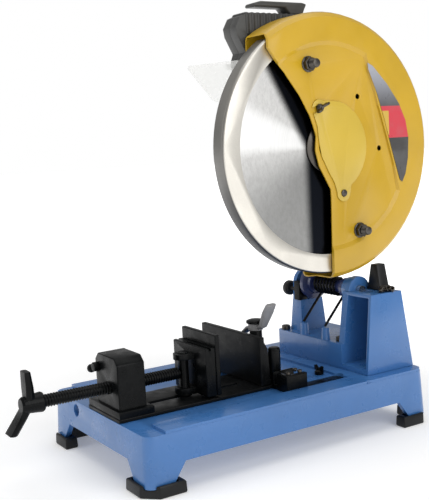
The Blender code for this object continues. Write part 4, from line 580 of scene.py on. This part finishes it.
class Bench:
    """Modelling steps, each a short run of mesh operators."""

    @staticmethod
    def pick(*pieces: Piece) -> None:
        """Selects only these pieces and makes the first one active."""
        bpy.ops.object.select_all(action="DESELECT")
        for piece in pieces:
            piece.select_set(True)
        bpy.context.view_layer.objects.active = pieces[0]

    @staticmethod
    def edit(piece: Piece, mode: str = "FACE") -> bmesh.types.BMesh:
        """Opens a piece in edit mode with nothing selected.

        Args:
            piece: the piece.
            mode: VERT, EDGE or FACE.

        Returns:
            Its edit mesh.
        """
        Bench.pick(piece)
        bpy.ops.object.mode_set(mode="EDIT")
        bpy.ops.mesh.select_mode(type=mode)
        bpy.ops.mesh.select_all(action="DESELECT")
        return bmesh.from_edit_mesh(piece.data)

    @staticmethod
    def close() -> None:
        """Leaves edit mode."""
        bpy.ops.object.mode_set(mode="OBJECT")

    @staticmethod
    def select(piece: Piece, mode: str, wanted: Callable) -> int:
        """Opens a piece and selects the parts that pass a test.

        Args:
            piece: the piece.
            mode: VERT, EDGE or FACE.
            wanted: the test.

        Returns:
            How many were selected.
        """
        mesh = Bench.edit(piece, mode)
        parts = {"VERT": mesh.verts, "EDGE": mesh.edges, "FACE": mesh.faces}[mode]
        count = 0
        for part in parts:
            if wanted(part):
                part.select = True
                count += 1
        mesh.select_flush_mode()
        bmesh.update_edit_mesh(piece.data)
        return count

    @staticmethod
    def outward(piece: Piece) -> None:
        """Merges doubles and turns every face outwards."""
        Bench.edit(piece)
        bpy.ops.mesh.select_all(action="SELECT")
        bpy.ops.mesh.remove_doubles(threshold=DOUBLES)
        bpy.ops.mesh.normals_make_consistent(inside=False)
        Bench.close()

    @staticmethod
    def smooth(piece: Piece, angle: float = 35.0) -> None:
        """Shades the piece smooth below an angle in degrees."""
        Bench.pick(piece)
        bpy.ops.object.shade_smooth_by_angle(angle=math.radians(angle))

    @staticmethod
    def settle(piece: Piece) -> None:
        """Puts the piece's place into its mesh."""
        Bench.pick(piece)
        bpy.ops.object.transform_apply(location=True, rotation=True, scale=True)

    @staticmethod
    def rounded(piece: Piece, width: float, segments: int = 3, angle: float = 30.0) -> None:
        """Rounds edges sharper than an angle.

        Args:
            piece: the piece.
            width: bevel width.
            segments: steps in the round.
            angle: sharpness in degrees that is left alone.
        """
        Bench.pick(piece)
        bevel = piece.modifiers.new("rounding", "BEVEL")
        bevel.width = width
        bevel.segments = segments
        bevel.limit_method = "ANGLE"
        bevel.angle_limit = math.radians(angle)
        bevel.use_clamp_overlap = True
        bevel.miter_outer = "MITER_ARC"
        bpy.ops.object.modifier_apply(modifier=bevel.name)

    @staticmethod
    def turned(name: str, profile: Sequence[tuple[float, float]], axis: Axis, centre: Point,
               sides: int = 32, spin: float = 0.0) -> Piece:
        """Extrudes a disc station by station along an axis.

        Args:
            name: the piece's name.
            profile: (distance along the axis, radius) stations.
            axis: the direction.
            centre: where distance 0 is.
            sides: corners of the disc.
            spin: turn about the axis, in radians.

        Returns:
            The piece, closed at both ends.
        """
        along, radius = profile[0]
        bpy.ops.object.select_all(action="DESELECT")
        bpy.ops.mesh.primitive_circle_add(vertices=sides, radius=radius, fill_type="NGON",
                                          location=(0, 0, along), rotation=(0, 0, spin))
        piece = bpy.context.active_object
        piece.name = name
        Bench.settle(piece)
        bpy.ops.object.mode_set(mode="EDIT")
        bpy.ops.mesh.select_all(action="SELECT")
        for next_along, next_radius in profile[1:]:
            bpy.ops.mesh.extrude_region_move(TRANSFORM_OT_translate={"value": (0, 0, next_along - along)})
            ratio = next_radius / radius
            bpy.ops.transform.resize(value=(ratio, ratio, 1), center_override=(0, 0, next_along))
            along, radius = next_along, next_radius
        Bench.close()
        piece.data.transform(Matrix.Translation(centre) @ axis.matrix())
        Bench.outward(piece)
        return piece

    @staticmethod
    def block(name: str, low: Point, high: Point, bevel: float, segments: int = 3) -> Piece:
        """Makes a box with rounded edges.

        Args:
            name: the piece's name.
            low: its lowest corner.
            high: its highest corner.
            bevel: edge round.
            segments: steps in the round.

        Returns:
            The piece.
        """
        bpy.ops.object.select_all(action="DESELECT")
        size = [h - l for l, h in zip(low, high)]
        bpy.ops.mesh.primitive_cube_add(size=1, location=[(l + h) / 2 for l, h in zip(low, high)], scale=size)
        piece = bpy.context.active_object
        piece.name = name
        Bench.settle(piece)
        bpy.ops.object.mode_set(mode="EDIT")
        bpy.ops.mesh.select_all(action="SELECT")
        bpy.ops.mesh.bevel(offset=bevel, segments=segments, affect="EDGES")
        Bench.close()
        return piece

    @staticmethod
    def copy(piece: Piece, name: str, change: Matrix = Matrix.Identity(4)) -> Piece:
        """Copies a piece with its own mesh.

        Args:
            piece: what is copied.
            name: the copy's name.
            change: how the copy's mesh is moved.

        Returns:
            The copy.
        """
        made = bpy.data.objects.new(name, piece.data.copy())
        bpy.context.scene.collection.objects.link(made)
        made.data.transform(change)
        return made

    @staticmethod
    def join(name: str, pieces: Sequence[Piece]) -> Piece:
        """Joins pieces into one called name."""
        Bench.pick(*pieces)
        bpy.ops.object.join()
        pieces[0].name = name
        return pieces[0]

    @staticmethod
    def from_node(node: str, name: str, merge: float = MERGE) -> Piece:
        """Copies a CAD node and merges its loose triangles.

        Args:
            node: the CAD node.
            name: the copy's name.
            merge: how close corners are merged.

        Returns:
            The merged copy, with flat faces made whole.
        """
        piece = Bench.copy(frame["nodes"][node], name)
        piece.data.materials.clear()
        Bench.edit(piece)
        bpy.ops.mesh.select_all(action="SELECT")
        bpy.ops.mesh.remove_doubles(threshold=merge)
        bpy.ops.mesh.dissolve_limited(angle_limit=math.radians(FLAT_ANGLE))
        Bench.close()
        return piece

    @staticmethod
    def dress(piece: Piece, finish: Finish, body: str, *nodes: str, angle: float = 35.0) -> None:
        """Finishes a piece: smooth, painted, riding on its body.

        Args:
            piece: the piece.
            finish: its finish.
            body: the CAD body that it rides on.
            nodes: the CAD nodes that it stands for.
            angle: shading angle in degrees.
        """
        Bench.smooth(piece, angle)
        piece.data.materials.clear()
        piece.data.materials.append(finish.material())
        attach(piece, body)
        if nodes:
            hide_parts(*nodes)
        LOG.info("%s: %d faces on %s", piece.name, len(piece.data.polygons), body)


@dataclass
class Assembly:
    """A group of pieces that are built and dressed together."""

    def soften(self, node: str, finish: Finish, width: float, segments: int = 3, angle: float = 30.0,
               merge: float = MERGE) -> Piece:
        """Stands a copy with rounded edges in for a CAD node.

        Args:
            node: the CAD node.
            finish: its finish.
            width: edge round.
            segments: steps in the round.
            angle: sharpness left alone, in degrees.
            merge: how close corners are merged.

        Returns:
            The dressed piece.
        """
        piece = Bench.from_node(node, f"{node}_soft", merge)
        Bench.rounded(piece, width, segments, angle)
        Bench.dress(piece, finish, BODY_OF[node], node, angle=40.0)
        return piece

    def soften_all(self, *rows: tuple[str, Finish, float, int, float]) -> None:
        """Softens nodes in turn, each given as its name, finish, round in mm, steps and sharpness."""
        for node, finish, width, segments, angle in rows:
            self.soften(node, finish, width * MM, segments, angle)

    def paint(self, finish: Finish, *nodes: str) -> None:
        """Gives a finish to CAD nodes that stay as they are."""
        for node in nodes:
            piece = frame["nodes"][node]
            piece.data.materials.clear()
            piece.data.materials.append(finish.material())
            LOG.info("%s: painted %s", node, finish.slot)


def middle(node: str) -> Vector:
    """Returns the middle of a CAD node's box."""
    low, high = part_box(node)
    return (low + high) / 2


@dataclass
class Screw:
    """A socket head cap screw, with a round socket sunk in."""

    radius: float = 3.0 * MM
    height: float = 3.2 * MM

    def build(self, name: str, axis: Axis, seat: Point, facing: int = 1) -> Piece:
        """Turns the head and sinks its socket.

        Args:
            name: the piece's name.
            axis: the screw's direction.
            seat: the middle of the face it sits on.
            facing: 1 or -1, the way the head looks.

        Returns:
            The head.
        """
        r, h, s = self.radius, self.height * facing, facing * MM
        profile = [(-1.5 * s, r * 0.5), (0.0, r * 0.5), (0.0, r), (h * 0.82, r), (h * 0.95, r * 0.93),
                   (h, r * 0.84), (h, r * 0.50), (h * 0.45, r * 0.46), (h * 0.40, r * 0.1)]
        return Bench.turned(name, profile, axis, seat, 24)


@dataclass
class Base(Assembly):
    """The base casting on its rubber feet."""

    casting_round: float = 3.0 * MM
    foot_round: float = 3.0 * MM
    slot_low: Point = (76.0 * MM, 77.0 * MM, 66.0 * MM)
    slot_high: Point = (102.0 * MM, 156.5 * MM, 78.6 * MM)

    def build(self) -> None:
        """Builds the casting, the four feet and a black block that fills the deck's slot."""
        self.soften("base_casting", Paints.BLUE, self.casting_round, 4, 25.0, COARSE_MERGE)
        for side in ("left", "right"):
            for end in ("front", "rear"):
                self.soften(f"foot_{end}_{side}", Paints.RUBBER, self.foot_round, 3, 25.0)
        # A black block fills the deck's slot so that it reads dark.
        liner = Bench.block("slot_liner", self.slot_low, self.slot_high, 1.0 * MM, 2)
        Bench.dress(liner, Paints.BLACK, "base")


@dataclass
class Vise(Assembly):
    """The bed plate, screw, quick-release nut and swivelling jaw."""

    pitch: float = 4.0 * MM
    thread_depth: float = 1.1 * MM

    def build(self) -> None:
        """Builds every vise piece."""
        self.soften_all(
            ("vise_bed_plate", Paints.BED, 0.8, 2, 30.0),
            ("screw_block", Paints.BLACK, 1.6, 3, 28.0),
            ("jaw_block", Paints.BLACK, 1.0, 3, 28.0),
            ("jaw_plate", Paints.BLACK, 1.4, 3, 28.0),
            ("jaw_pivot_post", Paints.BLACK, 0.7, 2, 28.0),
            ("nut_release_lever", Paints.BLACK, 0.8, 3, 28.0),
            ("crank_handle", Paints.BLACK, 2.0, 4, 24.0),
        )
        self.paint(Paints.DARK, "half_nut")
        self.build_screw()
        self.build_jaw_screws()

    def build_screw(self) -> None:
        """Cuts the thread: one turn of its profile, screwed along the shaft and trimmed square."""
        low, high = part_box("vise_screw")
        centre = middle("vise_screw")
        radius = (high.x - low.x) / 2
        root = radius - self.thread_depth
        start, end = low.y + 1.0 * MM, high.y - 13.0 * MM
        bpy.ops.object.select_all(action="DESELECT")
        bpy.ops.mesh.primitive_circle_add(vertices=6, radius=1.0, location=(0, 0, 0))
        rod = bpy.context.active_object
        rod.name = "vise_screw_thread"
        mesh = Bench.edit(rod, "VERT")
        p = self.pitch
        flank = [(root, 0.0), (root, p * 0.18), (radius, p * 0.42), (radius, p * 0.58), (root, p * 0.82),
                 (root, p)]
        mesh.verts.ensure_lookup_table()
        for vertex, (out, along) in zip(mesh.verts, flank):
            vertex.co = (out, 0.0, along)
        bmesh.update_edit_mesh(rod.data)
        Bench.close()
        Bench.select(rod, "EDGE", lambda edge: {vertex.index for vertex in edge.verts} == {0, 5})
        bpy.ops.mesh.delete(type="EDGE")
        Bench.close()
        turns = int((end - start) / p) + 3
        screw = rod.modifiers.new("thread", "SCREW")
        screw.axis = "Z"
        screw.screw_offset = p
        screw.iterations = turns
        screw.steps = screw.render_steps = 20
        screw.use_merge_vertices = True
        screw.merge_threshold = 0.00001
        Bench.pick(rod)
        bpy.ops.object.modifier_apply(modifier=screw.name)
        rod.data.transform(Matrix.Translation((centre.x, start - p, centre.z)) @ Axis.Y.matrix())
        for cut, clear_inner, clear_outer in ((start, True, False), (end, False, True)):
            Bench.edit(rod)
            bpy.ops.mesh.select_all(action="SELECT")
            bpy.ops.mesh.remove_doubles(threshold=DOUBLES)
            bpy.ops.mesh.bisect(plane_co=(0, cut, 0), plane_no=(0, 1, 0), use_fill=True,
                                clear_inner=clear_inner, clear_outer=clear_outer)
            Bench.close()
        profile = [(end - 2 * MM, root * 0.9), (end + 0.6 * MM, root * 0.9), (end + 1.5 * MM, 4 * MM),
                   (high.y - 1.0 * MM, 4 * MM), (high.y, 3.4 * MM)]
        nose = Bench.turned("nose", profile, Axis.Y, (centre.x, 0, centre.z), 24)
        Bench.outward(rod)
        rod = Bench.join("vise_screw_thread", [rod, nose])
        Bench.dress(rod, Paints.BLACK, "screw", "vise_screw", angle=30.0)

    def build_jaw_screws(self) -> None:
        """Sets two low screw heads in the jaw plate's face."""
        low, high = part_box("jaw_plate")
        for n, x in enumerate((low.x + 12 * MM, high.x - 12 * MM)):
            seat = (x, high.y - 0.2 * MM, high.z - 9 * MM)
            head = Screw(3.6 * MM, 1.2 * MM).build(f"jaw_screw_{n}", Axis.Y, seat)
            Bench.dress(head, Paints.DARK, "jaw")


@dataclass
class FenceGroup(Assembly):
    """The fence, its clamp, its stops and the cutting-length bracket."""

    def build(self) -> None:
        """Builds the fence pieces."""
        self.soften_all(
            ("fence", Paints.BED, 1.2, 3, 28.0),
            ("fence_clamp_post", Paints.BLACK, 0.7, 2, 28.0),
            ("fence_lock_lever", Paints.GREY, 1.2, 3, 28.0),
            ("square_stop_pin", Paints.BLACK, 0.8, 2, 28.0),
            ("stop_bracket", Paints.BLACK, 0.8, 2, 28.0),
            ("depth_stop_screw", Paints.BLACK, 0.5, 2, 28.0),
        )
        low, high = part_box("stop_bracket")
        for n, (x, y) in enumerate(((high.x - 8 * MM, low.y + 8 * MM), (high.x - 8 * MM, high.y - 8 * MM),
                                    (high.x - 19 * MM, high.y - 8 * MM))):
            head = Screw(3.4 * MM, 3.4 * MM).build(f"bracket_screw_{n}", Axis.Z, (x, y, high.z))
            Bench.dress(head, Paints.DARK, "base")


@dataclass
class Stand(Assembly):
    """The pivot stand with its bolts, spring, lock pin, rubber stop and chain."""

    wire: float = 1.1 * MM
    link_radius: float = 2.9 * MM
    link_stretch: float = 1.7 * MM
    links: int = 20

    def build(self) -> None:
        """Builds the stand's pieces."""
        self.soften("stand_casting", Paints.BLUE, 2.2 * MM, 3, 25.0, COARSE_MERGE)
        self.soften_all(
            ("up_stop", Paints.RUBBER, 1.5, 3, 25.0),
            ("head_lock_pin", Paints.PLASTIC, 1.0, 3, 28.0),
            ("lock_pin_guide", Paints.BLACK, 0.8, 2, 28.0),
        )
        self.paint(Paints.STEEL, "pivot_shaft")
        self.build_spring()
        self.build_bolts()
        self.build_chain()

    def build_spring(self) -> None:
        """Shades the spring's wire as round."""
        spring = Bench.from_node("torsion_spring", "torsion_spring_wire")
        Bench.dress(spring, Paints.BLACK, "base", "torsion_spring", angle=60.0)

    def build_bolts(self) -> None:
        """Makes the socket-head bolts that hold the stand down."""
        for side in ("left", "right"):
            low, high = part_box(f"stand_bolt_{side}")
            centre = middle(f"stand_bolt_{side}")
            seat = (centre.x, centre.y, high.z - 7.3 * MM)
            head = Screw((high.x - low.x) / 2, 7.3 * MM).build(f"stand_bolt_head_{side}", Axis.Z, seat)
            Bench.dress(head, Paints.DARK, "base", f"stand_bolt_{side}")

    def build_chain(self) -> None:
        """Heaps real links beside the rubber stop."""
        low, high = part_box("hold_down_chain")
        bpy.ops.object.select_all(action="DESELECT")
        bpy.ops.mesh.primitive_torus_add(major_segments=20, minor_segments=8, major_radius=self.link_radius,
                                         minor_radius=self.wire)
        link = bpy.context.active_object
        for side in (-1, 1):
            Bench.select(link, "VERT", lambda v, s=side: v.co.x * s > 0.0001)
            bpy.ops.transform.translate(value=(side * self.link_stretch, 0, 0))
            Bench.close()
        centre = (low + high) / 2
        reach = high.y - low.y
        links = []
        for n in range(self.links):
            share = n / (self.links - 1)
            angle = 0.4 + share * 9.0
            out = 2.5 * MM + 8.5 * MM * share
            spot = Vector((centre.x + out * 0.85 * math.cos(angle), centre.y + (share - 0.5) * reach * 0.75,
                           low.z + 2.4 * MM + 1.6 * MM * (n % 3)))
            lean = math.radians(35 if n % 2 else -50)
            turn = Matrix.Rotation(angle * 0.8 + 1.2, 4, "Z") @ Matrix.Rotation(lean, 4, "X")
            links.append(Bench.copy(link, f"link_{n}", Matrix.Translation(spot) @ turn))
        bpy.data.objects.remove(link)
        chain = Bench.join("hold_down_chain_links", links)
        Bench.outward(chain)
        Bench.dress(chain, Paints.DARK, "base", "hold_down_chain", angle=60.0)


@dataclass
class Head(Assembly):
    """The swing arm, gearbox and motor."""

    ribs: int = 22
    vanes: int = 18
    cap_screws: int = 4
    cap_screw_ring: float = 39.0 * MM

    def build(self) -> None:
        """Builds the head's drive pieces."""
        # The swing arm takes the darker blue, painted shade.
        self.soften("swing_arm", Paints.SHADED_ARM_BLUE, 1.6 * MM, 3, 28.0, COARSE_MERGE)
        self.soften("gearbox_housing", Paints.ALUMINIUM, 1.2 * MM, 3, 28.0, COARSE_MERGE)
        self.soften("motor_housing", Paints.PLASTIC, 1.6 * MM, 3, 28.0, COARSE_MERGE)
        self.soften("motor_end_cap", Paints.PLASTIC, 1.6 * MM, 3, 28.0, COARSE_MERGE)
        self.paint(Paints.STEEL, "spindle", "spindle_bearing", "motor_bearing_front", "motor_bearing_rear")
        self.paint(Paints.DARK, "drive_gear")
        self.paint(Paints.COPPER, "armature")
        self.paint(Paints.PLASTIC, "cooling_fan")
        self.soften("spindle_lock_button", Paints.PLASTIC, 0.6 * MM, 2, 28.0)
        self.build_motor_ribs()

    def build_motor_ribs(self) -> None:
        """Sets cooling ribs round the motor and screws in its end cap."""
        low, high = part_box("motor_end_cap")
        centre = middle("motor_end_cap")
        radius = (high.y - low.y) / 2
        rib = Bench.block("rib", (-100 * MM, -1.2 * MM, radius - 2.5 * MM),
                          (-22 * MM, 1.2 * MM, radius + 1.6 * MM), 0.9 * MM, 2)
        ribs = [Bench.copy(rib, f"rib_{n}", Matrix.Translation((0, centre.y, centre.z))
                           @ Matrix.Rotation(math.tau * n / self.ribs, 4, "X")) for n in range(self.ribs)]
        bpy.data.objects.remove(rib)
        Bench.dress(Bench.join("motor_ribs", ribs), Paints.PLASTIC, "head", angle=50.0)
        slot = Bench.block("slot", (low.x - 1.0 * MM, -1.6 * MM, 14 * MM),
                           (low.x + 2.0 * MM, 1.6 * MM, 34 * MM), 0.9 * MM, 2)
        slots = [Bench.copy(slot, f"slot_{n}", Matrix.Translation((0, centre.y, centre.z))
                            @ Matrix.Rotation(math.tau * n / self.vanes, 4, "X")) for n in range(self.vanes)]
        bpy.data.objects.remove(slot)
        Bench.dress(Bench.join("motor_cap_vanes", slots), Paints.PLASTIC, "head", angle=50.0)
        for n in range(self.cap_screws):
            angle = math.tau * (n + 0.5) / self.cap_screws
            spot = (low.x + 0.4 * MM, centre.y + self.cap_screw_ring * math.cos(angle),
                    centre.z + self.cap_screw_ring * math.sin(angle))
            head = Screw(3.2 * MM, 2.6 * MM).build(f"motor_screw_{n}", Axis.X, spot, -1)
            Bench.dress(head, Paints.DARK, "head")


@dataclass
class BladeGroup(Assembly):
    """The disc, its flanges and its bolt, and the ring guard round it."""

    def build(self) -> None:
        """Dresses the spindle's pieces and the ring."""
        centre = middle("blade")
        self.paint(BladeSteel("steel", (0.6, 0.6, 0.6), 0.3, centre.y, centre.z), "blade")
        self.soften_all(
            ("inner_flange", Paints.DARK, 0.6, 2, 30.0),
            ("outer_flange", Paints.DARK, 0.6, 2, 30.0),
            ("arbor_bolt", Paints.DARK, 0.8, 2, 30.0),
        )
        ring = RingMetal("ring_steel", (0.64, 0.615, 0.56), 0.36, (60.0, 500.0, 500.0), 0.06, 0.00002,
                         centre.y, centre.z)
        self.soften("lower_ring_guard", ring, 0.5 * MM, 2, 35.0)


@dataclass
class Guard(Assembly):
    """The fixed guard with its cover, studs and printed band."""

    step_radius: float = 150.0 * MM
    step_depth: float = 3.5 * MM
    step_top: float = 1.014
    step_foot: float = 0.975
    stud_reach: float = 20.5 * MM

    def build(self) -> None:
        """Builds the guard's pieces."""
        self.build_shell()
        self.soften_all(
            ("access_cover", Paints.COVER, 0.5, 2, 30.0),
            ("graphic_plate", Paints.GRAPHIC, 0.25, 1, 30.0),
            ("cover_pivot_rivet", Paints.DARK, 0.4, 2, 30.0),
            ("wing_bolt", Paints.DARK, 0.4, 2, 30.0),
        )
        self.build_stud("upper")
        self.build_stud("lower")

    def build_shell(self) -> None:
        """Draws the pressed step out into a slope and rounds the shell's edges."""
        shell = Bench.from_node("upper_guard", "upper_guard_soft", COARSE_MERGE)
        centre = middle("blade")
        _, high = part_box("upper_guard")
        for depth, reach in ((0.0, self.step_top), (self.step_depth, self.step_foot)):
            plane = high.x - depth

            def on_step(vertex: bmesh.types.BMVert) -> bool:
                """Tells whether a corner is on the step's edge in this plane."""
                radius = math.hypot(vertex.co.y - centre.y, vertex.co.z - centre.z)
                return abs(vertex.co.x - plane) < 0.1 * MM and abs(radius - self.step_radius) < 1.2 * MM
            count = Bench.select(shell, "VERT", on_step)
            LOG.info("guard step: %d corners", count)
            bpy.ops.transform.resize(value=(1, reach, reach), center_override=(plane, centre.y, centre.z))
            Bench.close()
        Bench.rounded(shell, 1.5 * MM, 3, 30.0)
        Bench.dress(shell, Paints.YELLOW, "head", "upper_guard", angle=30.0)

    def build_stud(self, which: str) -> None:
        """Stands a threaded stud, its chamfered nut and a washer on the guard."""
        node = f"guard_bolt_{which}"
        low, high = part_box(node)
        centre = middle(node)
        face = high.x - self.stud_reach
        where = (0.0, centre.y, centre.z)
        nut_radius = (high.z - low.z) / 2 * 1.02
        nut = Bench.turned("nut", [(face + 1.2 * MM, nut_radius * 0.86), (face + 2.4 * MM, nut_radius),
                                   (face + 7.4 * MM, nut_radius), (face + 8.6 * MM, nut_radius * 0.86)],
                           Axis.X, where, 6, 0.3)
        washer_radius = nut_radius * 1.1
        washer = Bench.turned("washer", [(face - 1.0 * MM, washer_radius), (face + 1.0 * MM, washer_radius),
                                         (face + 1.3 * MM, nut_radius * 1.05)], Axis.X, where, 32)
        profile = [(low.x, 4.6 * MM), (face + 8.8 * MM, 4.6 * MM), (face + 9.0 * MM, 6.2 * MM)]
        along = face + 9.4 * MM
        while along < high.x - 2.2 * MM:
            profile += [(along, 6.6 * MM), (along + 0.7 * MM, 5.9 * MM)]
            along += 1.4 * MM
        profile += [(high.x - 1.6 * MM, 6.4 * MM), (high.x - 0.5 * MM, 6.0 * MM), (high.x, 5.0 * MM)]
        stud = Bench.turned("stud", profile, Axis.X, where, 24)
        piece = Bench.join(f"guard_stud_{which}", [nut, washer, stud])
        Bench.dress(piece, Paints.DARK, "head", node, angle=30.0)


@dataclass
class Handle(Assembly):
    """The handle with its ribbed grip, carry bar, trigger and lock-off button."""

    ribs: int = 9
    rib_pitch: float = 10.2 * MM
    rib_gap: float = 0.9 * MM
    rib_drop: float = 33.0 * MM
    rib_round: float = 4.0 * MM
    proud: float = 1.1 * MM

    def build(self) -> None:
        """Builds the handle's pieces."""
        self.soften_all(
            ("handle_shell_left", Paints.HANDLE, 2.5, 3, 28.0),
            ("handle_shell_right", Paints.HANDLE, 2.5, 3, 28.0),
            ("carry_bar", Paints.HANDLE, 1.8, 3, 28.0),
            ("trigger", Paints.ORANGE, 1.0, 3, 28.0),
            ("lock_off_button", Paints.ORANGE, 0.6, 2, 28.0),
        )
        self.build_grip()

    def build_grip(self) -> None:
        """Puts rounded ribs round the grip."""
        left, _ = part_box("handle_shell_left")
        _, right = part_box("handle_shell_right")
        start = left.y + 16 * MM
        ribs = []
        for n in range(self.ribs):
            y = start + n * self.rib_pitch
            corner = (right.x + self.proud, y + self.rib_pitch - self.rib_gap, right.z + self.proud)
            ribs.append(Bench.block(f"rib_{n}", (left.x - self.proud, y, right.z - self.rib_drop), corner,
                                    self.rib_round, 5))
        Bench.dress(Bench.join("grip_ribs", ribs), Paints.GRIP, "head", angle=60.0)


@dataclass
class Visor(Assembly):
    """The clear chip visor."""

    def build(self) -> None:
        """Builds the visor."""
        self.soften("chip_visor", Paints.CLEAR, 0.5 * MM, 2, 30.0)


@dataclass
class Studio:
    """The floor, the lights and the camera."""

    camera_at: Point = (1.10870, -0.69853, 0.44213)
    azimuth: float = 1.0106264
    elevation: float = 0.1211782
    roll: float = -0.0522224
    lens: float = 64.26
    fill: float = 0.42

    def build(self) -> None:
        """Builds the whole studio."""
        self.build_floor()
        self.build_lights()
        self.build_camera()

    def build_floor(self) -> None:
        """Lays a flat pale floor that glows more away from the saw."""
        bpy.ops.object.select_all(action="DESELECT")
        bpy.ops.mesh.primitive_plane_add(size=30, location=(0, 0, 0))
        floor = bpy.context.active_object
        floor.name = "floor"
        board = Board("floor")
        colour = board.blend(board.noise(3.0, 2.0) * 0.04, (0.90, 0.90, 0.90), (0.86, 0.86, 0.86))
        x, y = board.axis("x"), board.axis("y")
        away = (x * x + y * y).root().step(0.35, 1.5)
        glow = board.blend(away, (0.22, 0.22, 0.22), (1.0, 1.0, 1.0))
        rough = 0.9 - board.noise(30, 2.0) * 0.1
        floor.data.materials.append(board.finish(colour, rough, Specular_IOR_Level=0.1, Emission_Color=glow,
                                                 Emission_Strength=1.0))

    def light(self, name: str, spot: Point, aim: Point, size: float, power: float) -> None:
        """Hangs a square softbox.

        Args:
            name: its name.
            spot: where it hangs.
            aim: the point that it faces.
            size: its side.
            power: in watts.
        """
        data = bpy.data.lights.new(name, "AREA")
        data.size = size
        data.energy = power
        lamp = bpy.data.objects.new(name, data)
        lamp.location = spot
        lamp.rotation_euler = (Vector(aim) - Vector(spot)).to_track_quat("-Z", "Y").to_euler()
        bpy.context.scene.collection.objects.link(lamp)

    def build_lights(self) -> None:
        """Hangs the softboxes and fills the room with even white light."""
        world = bpy.data.worlds.new("studio")
        world.use_nodes = True
        tree = world.node_tree
        background = tree.nodes["Background"]
        background.inputs["Color"].default_value = (1.0, 1.0, 1.0, 1.0)
        seen = tree.nodes.new("ShaderNodeLightPath")
        level = tree.nodes.new("ShaderNodeMapRange")
        level.inputs["To Min"].default_value = self.fill
        level.inputs["To Max"].default_value = 1.0
        tree.links.new(seen.outputs["Is Camera Ray"], level.inputs["Value"])
        tree.links.new(level.outputs["Result"], background.inputs["Strength"])
        bpy.context.scene.world = world
        self.light("front", (-0.5, -2.2, 1.1), (0, 0, 0.25), 1.2, 10)
        self.light("top", (0.0, 0.1, 2.4), (0, 0, 0.2), 2.4, 24)
        self.light("side", (2.1, 0.3, 1.2), (0, 0.1, 0.3), 1.6, 20)
        bpy.context.scene.view_settings.view_transform = "Standard"

    def build_camera(self) -> None:
        """Sets up the camera from its place and its three angles."""
        a, e, r = self.azimuth, self.elevation, self.roll
        back = Vector((math.sin(a) * math.cos(e), -math.cos(a) * math.cos(e), math.sin(e)))
        right = Vector((0, 0, 1)).cross(back).normalized()
        up = back.cross(right)
        across = right * math.cos(r) + up * math.sin(r)
        above = up * math.cos(r) - right * math.sin(r)
        data = bpy.data.cameras.new("camera")
        data.lens = self.lens
        data.sensor_width = 36.0
        camera = bpy.data.objects.new("camera", data)
        turn = Matrix((across, above, back)).transposed().to_4x4()
        camera.matrix_world = Matrix.Translation(self.camera_at) @ turn
        bpy.context.scene.collection.objects.link(camera)
        bpy.context.scene.camera = camera


def main() -> None:
    """Builds every assembly in order."""
    logging.basicConfig(level=logging.INFO, format="%(message)s")
    for assembly in (Base(), Vise(), FenceGroup(), Stand(), Head(), BladeGroup(), Guard(), Handle(), Visor()):
        LOG.info("building %s", type(assembly).__name__)
        assembly.build()
    Studio().build()


if __name__ == "__main__":
    main()
